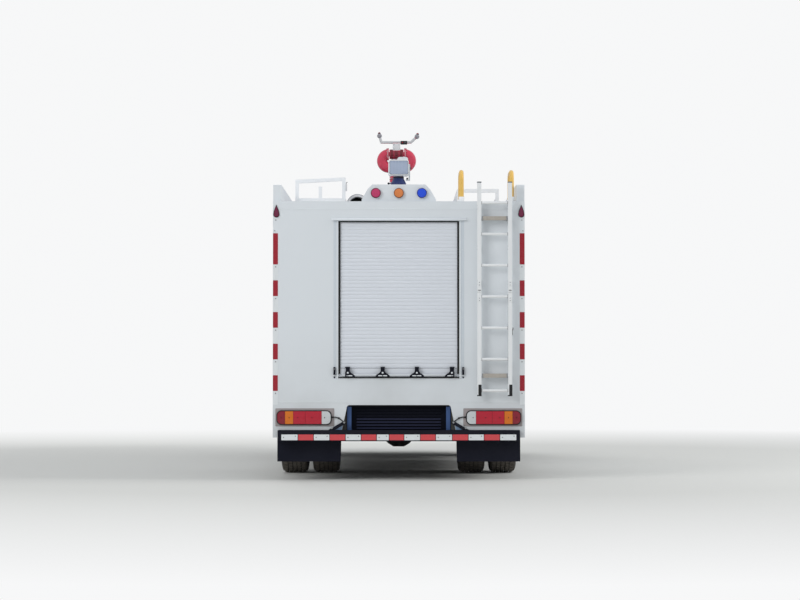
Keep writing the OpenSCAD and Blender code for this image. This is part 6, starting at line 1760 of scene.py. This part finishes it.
# %% Both flanks
ARCH_Y, ARCH_Z, ARCH_R, ARCH_FOOT = -2.25, 0.53, 0.62, 0.424
flanks = Workpiece("flank_fittings")
for s in BOTH:
    for row in SHUTTER_ROWS:
        shutter_frame(flanks, s, *row)
    for y, low in ((-2.975, 1.02), (-1.545, 0.88), (-0.385, 0.88), (1.02, 0.88)):
        flanks.block(s * HALF_W, s * (HALF_W + 0.0004), y - 0.0012, y + 0.0012, low, 2.66, seam_gap, 0)
    for k in range(28):
        for z in (2.640, 2.905):
            flanks.screw((s * HALF_W, 0.1885 * k - 4.02, z), (s, 0, 0), 0.0042, white_paint)
    angles = [math.pi * k / 36 for k in range(37)]
    arch = [(ARCH_Y - ARCH_R * math.cos(a), ARCH_Z + ARCH_R * math.sin(a)) for a in angles]
    arch = [(ARCH_Y - ARCH_R, ARCH_FOOT)] + arch + [(ARCH_Y + ARCH_R, ARCH_FOOT)]
    flanks.tube([(s * (HALF_W - 0.001), y, z) for y, z in arch], 0.0105, black_rubber, 10)
    for first, last in ((-4.050, -2.905), (-1.595, 1.130)):
        count = round((last - first) / 0.15)
        pitch = (last - first) / count
        for k in range(count):
            flanks.block(s * (HALF_W - 0.001), s * (HALF_W + 0.0008), first + pitch * k, first + pitch * (k + 1),
                         0.428, 0.478, (edge_tape_red, tape_white)[k % 2], 0)
    for y in (-2.975, -0.95, 1.055):
        spot = placed((s * HALF_W, y, 0.960), -90 * s, "Z")
        flanks.tile(0.046, 0.021, 0.018, 5, -0.001, 0.006, black_rubber, 0.002, spot)
        flanks.tile(0.040, 0.015, 0.013, 5, 0.004, 0.015, amber_lens, 0.005, spot)
    for y in (-3.50, -2.25, -0.92, 0.30):
        spot = placed((s * HALF_W, y, 2.785), -90 * s, "Z")
        flanks.tile(0.075, 0.052, 0.018, 5, -0.001, 0.014, black_plastic, 0.003, spot)
        flanks.tile(0.064, 0.041, 0.010, 5, 0.010, 0.0155, reflector, 0.001, spot)
        flanks.tile(0.066, 0.043, 0.011, 5, 0.015, 0.019, lamp_glass, 0.001, spot)
    service_panel(flanks, placed((s * HALF_W, -0.95, 1.55), -90 * s, "Z"), 0.36, 0.44)
flanks.done("chassis")
print("wheel arches at y", ARCH_Y, "have a lip of", ARCH_R, "m radius")

# %% [markdown]
# Each flank has a flap that folds down as a step. Its cupped pull and its rivets ride on the flap's body. The cup is
# a dark opening in a black rim, and it is flat, since the flap is only a few millimetres thick.

# %% Step flaps
for side, s in zip(SIDES, BOTH):
    fit = Workpiece(f"flap_fittings_{side}")
    low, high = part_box(f"flap_{side}")
    face = s * min(abs(high.x if s > 0 else low.x), HALF_W)
    cup, opening = rounded(0.215, 0.385, 0.735, 0.790, 0.02, 5), rounded(0.232, 0.368, 0.748, 0.777, 0.013, 5)
    fit.prism(cup, "x", face - s * 0.001, face + s * 0.0025, black_plastic, 0.0008)
    fit.prism(opening, "x", face, face + s * 0.0030, seam_gap)
    for y in (-0.30, 0.10, 0.50, 0.90):
        for z in (0.53, 0.79):
            fit.screw((face, y, z), (s, 0, 0), 0.005, bare_steel)
    fit.done(f"flap_{side}")
    print("flap", side, "has its pull at x", round(face, 3))

# %% [markdown]
# On top are the things that only a ladder shows: caps along the parapets, the tank's filler hatch with its hinges
# and clamps, seams in the deck, bolted foot plates under the racks, and a small catch on the left rack's tall end.
# The hatch is three outlines stacked: frame, rubber and lid, each a little wider than the one below.

# %% Roof fittings
CAP_TOP = PARAPET_TOP + 0.0035
roof = Workpiece("roof_fittings")
for s in BOTH:
    # The parapet caps take the whiter copy of the body paint, as painted sunlight.
    roof.block(s * 1.1685, s * 1.2515, REAR_Y + 0.045, BODY_FRONT_Y + 0.0005, PARAPET_TOP - 0.001, CAP_TOP,
               white_with_painted_sunlight, 0.001)
    for k in range(26):
        roof.screw((s * 1.21, REAR_Y + 0.14 + 0.2 * k, CAP_TOP), UP, 0.005, bare_steel)
for grow, radius, low, high, finish, bevel in ((0, 0.06, -0.001, 0.030, white_paint, 0.004),
                                               (0.008, 0.066, 0.027, 0.033, black_rubber, 0.001),
                                               (0.012, 0.07, 0.032, 0.052, deck_plate, 0.006)):
    lid = rounded(-0.16 - grow, 0.42 + grow, -1.22 - grow, -0.64 + grow, radius)
    roof.prism(lid, "z", DECK_Z + low, DECK_Z + high, finish, bevel)
for x in (0.00, 0.26):
    roof.tube([(x - 0.04, -0.622, DECK_Z + 0.045), (x + 0.04, -0.622, DECK_Z + 0.045)], 0.010, bare_steel, 14)
    clamp = Matrix.Translation((x, -1.245, DECK_Z))
    roof.block(-0.014, 0.014, -0.012, 0.012, 0.0, 0.070, bare_steel, 0.003, clamp)
    roof.tube([(0, 0, 0.062), (0, 0.045, 0.060)], 0.006, bare_steel, 10, where=clamp)
    roof.spun([(0, 0.088), (0.018, 0.084), (0.021, 0.070), (0.012, 0.064)], clamp, black_plastic, 20)
pull = [(0.06, 0.05), (0.06, 0.085), (0.20, 0.085), (0.20, 0.05)]
roof.tube([(x, -1.10, DECK_Z + z) for x, z in pull], 0.008, chrome, 12)
for x in (-0.78, 0.78):
    for y in (-3.45, -2.30, -1.15, 0):
        roof.block(x - 0.16, x + 0.16, y - 0.0012, y + 0.0012, DECK_Z, DECK_Z + 0.0008, seam_gap, 0)
for y in (-3.182, -2.032, -0.882, 0.268):
    for x in (-1.047, -0.566, 0.618, 1.012):
        roof.block(x - 0.040, x + 0.040, y - 0.034, y + 0.034, DECK_Z - 0.001, DECK_Z + 0.006, white_paint)
        for dx in (-0.029, 0.029):
            roof.hexagon((x + dx, y, DECK_Z + 0.006), UP, 0.0065, 0.005, bare_steel)
roof.block(-0.549, -0.533, -3.196, -3.170, 2.930, 3.004, pale_casting, 0.003)
roof.tube([(-0.541, -3.183, 3.000), (-0.541, -3.183, 3.016), (-0.528, -3.183, 3.022)], 0.004, bare_steel, 8)
roof.done("chassis")
print("roof fitted, parapet caps at", round(CAP_TOP, 3), "m")

# %% [markdown]
# Underneath: brake chambers beside each axle, air and brake pipes clipped to the frame, a filler cap and bolts on
# the tanks, and raised cleats on the cab's steps. They are small, but a low view shows them. A chamber is turned
# from one profile, and the cleats are real blocks, because bump vanishes when it is seen edge on.

# %% Underbody and steps
CHAMBER_X = 0.525
CHAMBER = [(0, 0), (0.055, 0), (0.072, 0.012), (0.074, 0.060), (0.081, 0.064), (0.081, 0.078), (0.074, 0.082),
           (0.070, 0.125), (0.050, 0.142), (0, 0.142)]
HOSE = [(0.525, 0.002, 0.03), (0.52, -0.05, 0.06), (0.47, -0.09, 0.20)]
CLEAT_PITCH = 0.045


def cleats(piece, x0, x1, y0, y1, top):
    """A step plate with rows of slanting cleats."""
    a, b = sorted((x0, x1))
    piece.block(a, b, y0, y1, top - 0.001, top + 0.0018, bare_steel, 0.0005)
    rows, columns = max(2, round((b - a) / CLEAT_PITCH)), round((y1 - y0) / CLEAT_PITCH)
    for i in range(rows):
        for j in range(columns):
            place = a + (b - a) * (i + 0.5) / rows, y0 + (y1 - y0) * (j + 0.5) / columns, top + 0.0018
            cleat = placed(place, 45 if (i + j) % 2 else -45, "Z")
            piece.block(-0.013, 0.013, -0.0028, 0.0028, 0, 0.0018, bare_steel, 0, cleat)


under = Workpiece("underbody_fittings")
for s in BOTH:
    for y, z in ((FRONT_Y - 0.24, 0.50), (BACK_Y + 0.13, 0.56)):
        under.turned(CHAMBER, (s * CHAMBER_X, y, z), "y", black_paint, 32, flip=-1)
        under.tube([(s * CHAMBER_X, y + 0.14, z), (s * CHAMBER_X, y + 0.20, z)], 0.012, bare_steel, 12)
        for a, b in circle(0.0775, 8):
            under.hexagon((s * CHAMBER_X + a, y + 0.078, z + b), AHEAD, 0.006, 0.006, bare_steel)
        hose = [(s * x, y + dy, z + dz) for x, dy, dz in HOSE] + [(s * 0.438, y - 0.10, 0.86)]
        under.tube(hose, 0.007, black_rubber, 8)
    for z, finish in ((0.846, black_rubber), (0.866, bare_steel), (0.886, black_rubber)):
        under.tube([(s * 0.4375, -3.85, z), (s * 0.4375, 1.30, z)], 0.0055, finish, 8)
    for k in range(11):
        y = 0.50 * k - 3.80
        under.block(s * 0.430, s * 0.4455, y - 0.010, y + 0.010, 0.835, 0.897, black_plastic)
under.turned([(0.050, 0), (0.054, 0.006), (0.054, 0.028), (0.046, 0.036), (0, 0.038)], (-0.70, 1.58, 0.959), "z",
             black_plastic, 36)
under.turned([(0.038, -0.004), (0.038, 0.002), (0, 0.004)], (-0.70, 1.78, 0.960), "z", bare_steel, 28)
for y in (1.52, 1.84):
    for s in BOTH:
        under.hexagon((s * 0.866, y, 0.70), (s, 0, 0), 0.012, 0.010, bare_steel)
for k in range(6):
    z = 0.640 + 0.048 * k
    under.block(0.864, 0.868, 1.40, 1.96, z, z + 0.012, grey_plastic, 0.001)
for s in BOTH:
    for y0, y1 in ((1.385, 1.975), (3.325, 3.975)):
        for x0, x1, top in ((1.120, 1.220, 0.510), (0.950, 1.198, 0.830)):
            cleats(under, s * x0, s * x1, y0, y1, top)
under.done("chassis")
print("underbody fitted")

# %% [markdown]
# The studio floor is one wide plane. It is painted pale, and with distance it melts into the backdrop, so that
# no dark line shows at the horizon.

# %% Floor and end
FLOOR_HALF = 60
MELT_FROM, MELT_OVER = 7.0, 9.0
floor_mesh = bpy.data.meshes.new("floor")
floor_form = bmesh.new()
bmesh.ops.create_grid(floor_form, x_segments=1, y_segments=1, size=FLOOR_HALF)
floor_form.to_mesh(floor_mesh)
floor_form.free()
floor = added("floor", floor_mesh)
floor_finish = Finish("floor_paint", srgb(206, 206, 202), 0.75)
floor_x, floor_y, _ = floor_finish.axes()
away = (floor_x * floor_x + floor_y * floor_y) ** 0.5
far_off = floor_finish.ramp(((away - MELT_FROM) / MELT_OVER).highest(0.0).lowest(1.0), (0, 0), (1.0, 1.0))
seen = far_off * floor_finish.node("ShaderNodeLightPath")
melt = floor_finish.node("ShaderNodeEmission", values={"Color": BACKDROP, "Strength": 1.0})
paint = Sock(floor_finish, floor_finish.shader.outputs[0])
blend = floor_finish.node("ShaderNodeMixShader", values={0: seen, 1: paint, 2: melt})
floor_out = next(n for n in floor_finish.tree.nodes if n.type == "OUTPUT_MATERIAL")
floor_finish.tree.links.new(blend.socket, floor_out.inputs["Surface"])
floor_mesh.materials.append(floor_finish.material)
floor.location.z = -0.001

# %% [markdown]
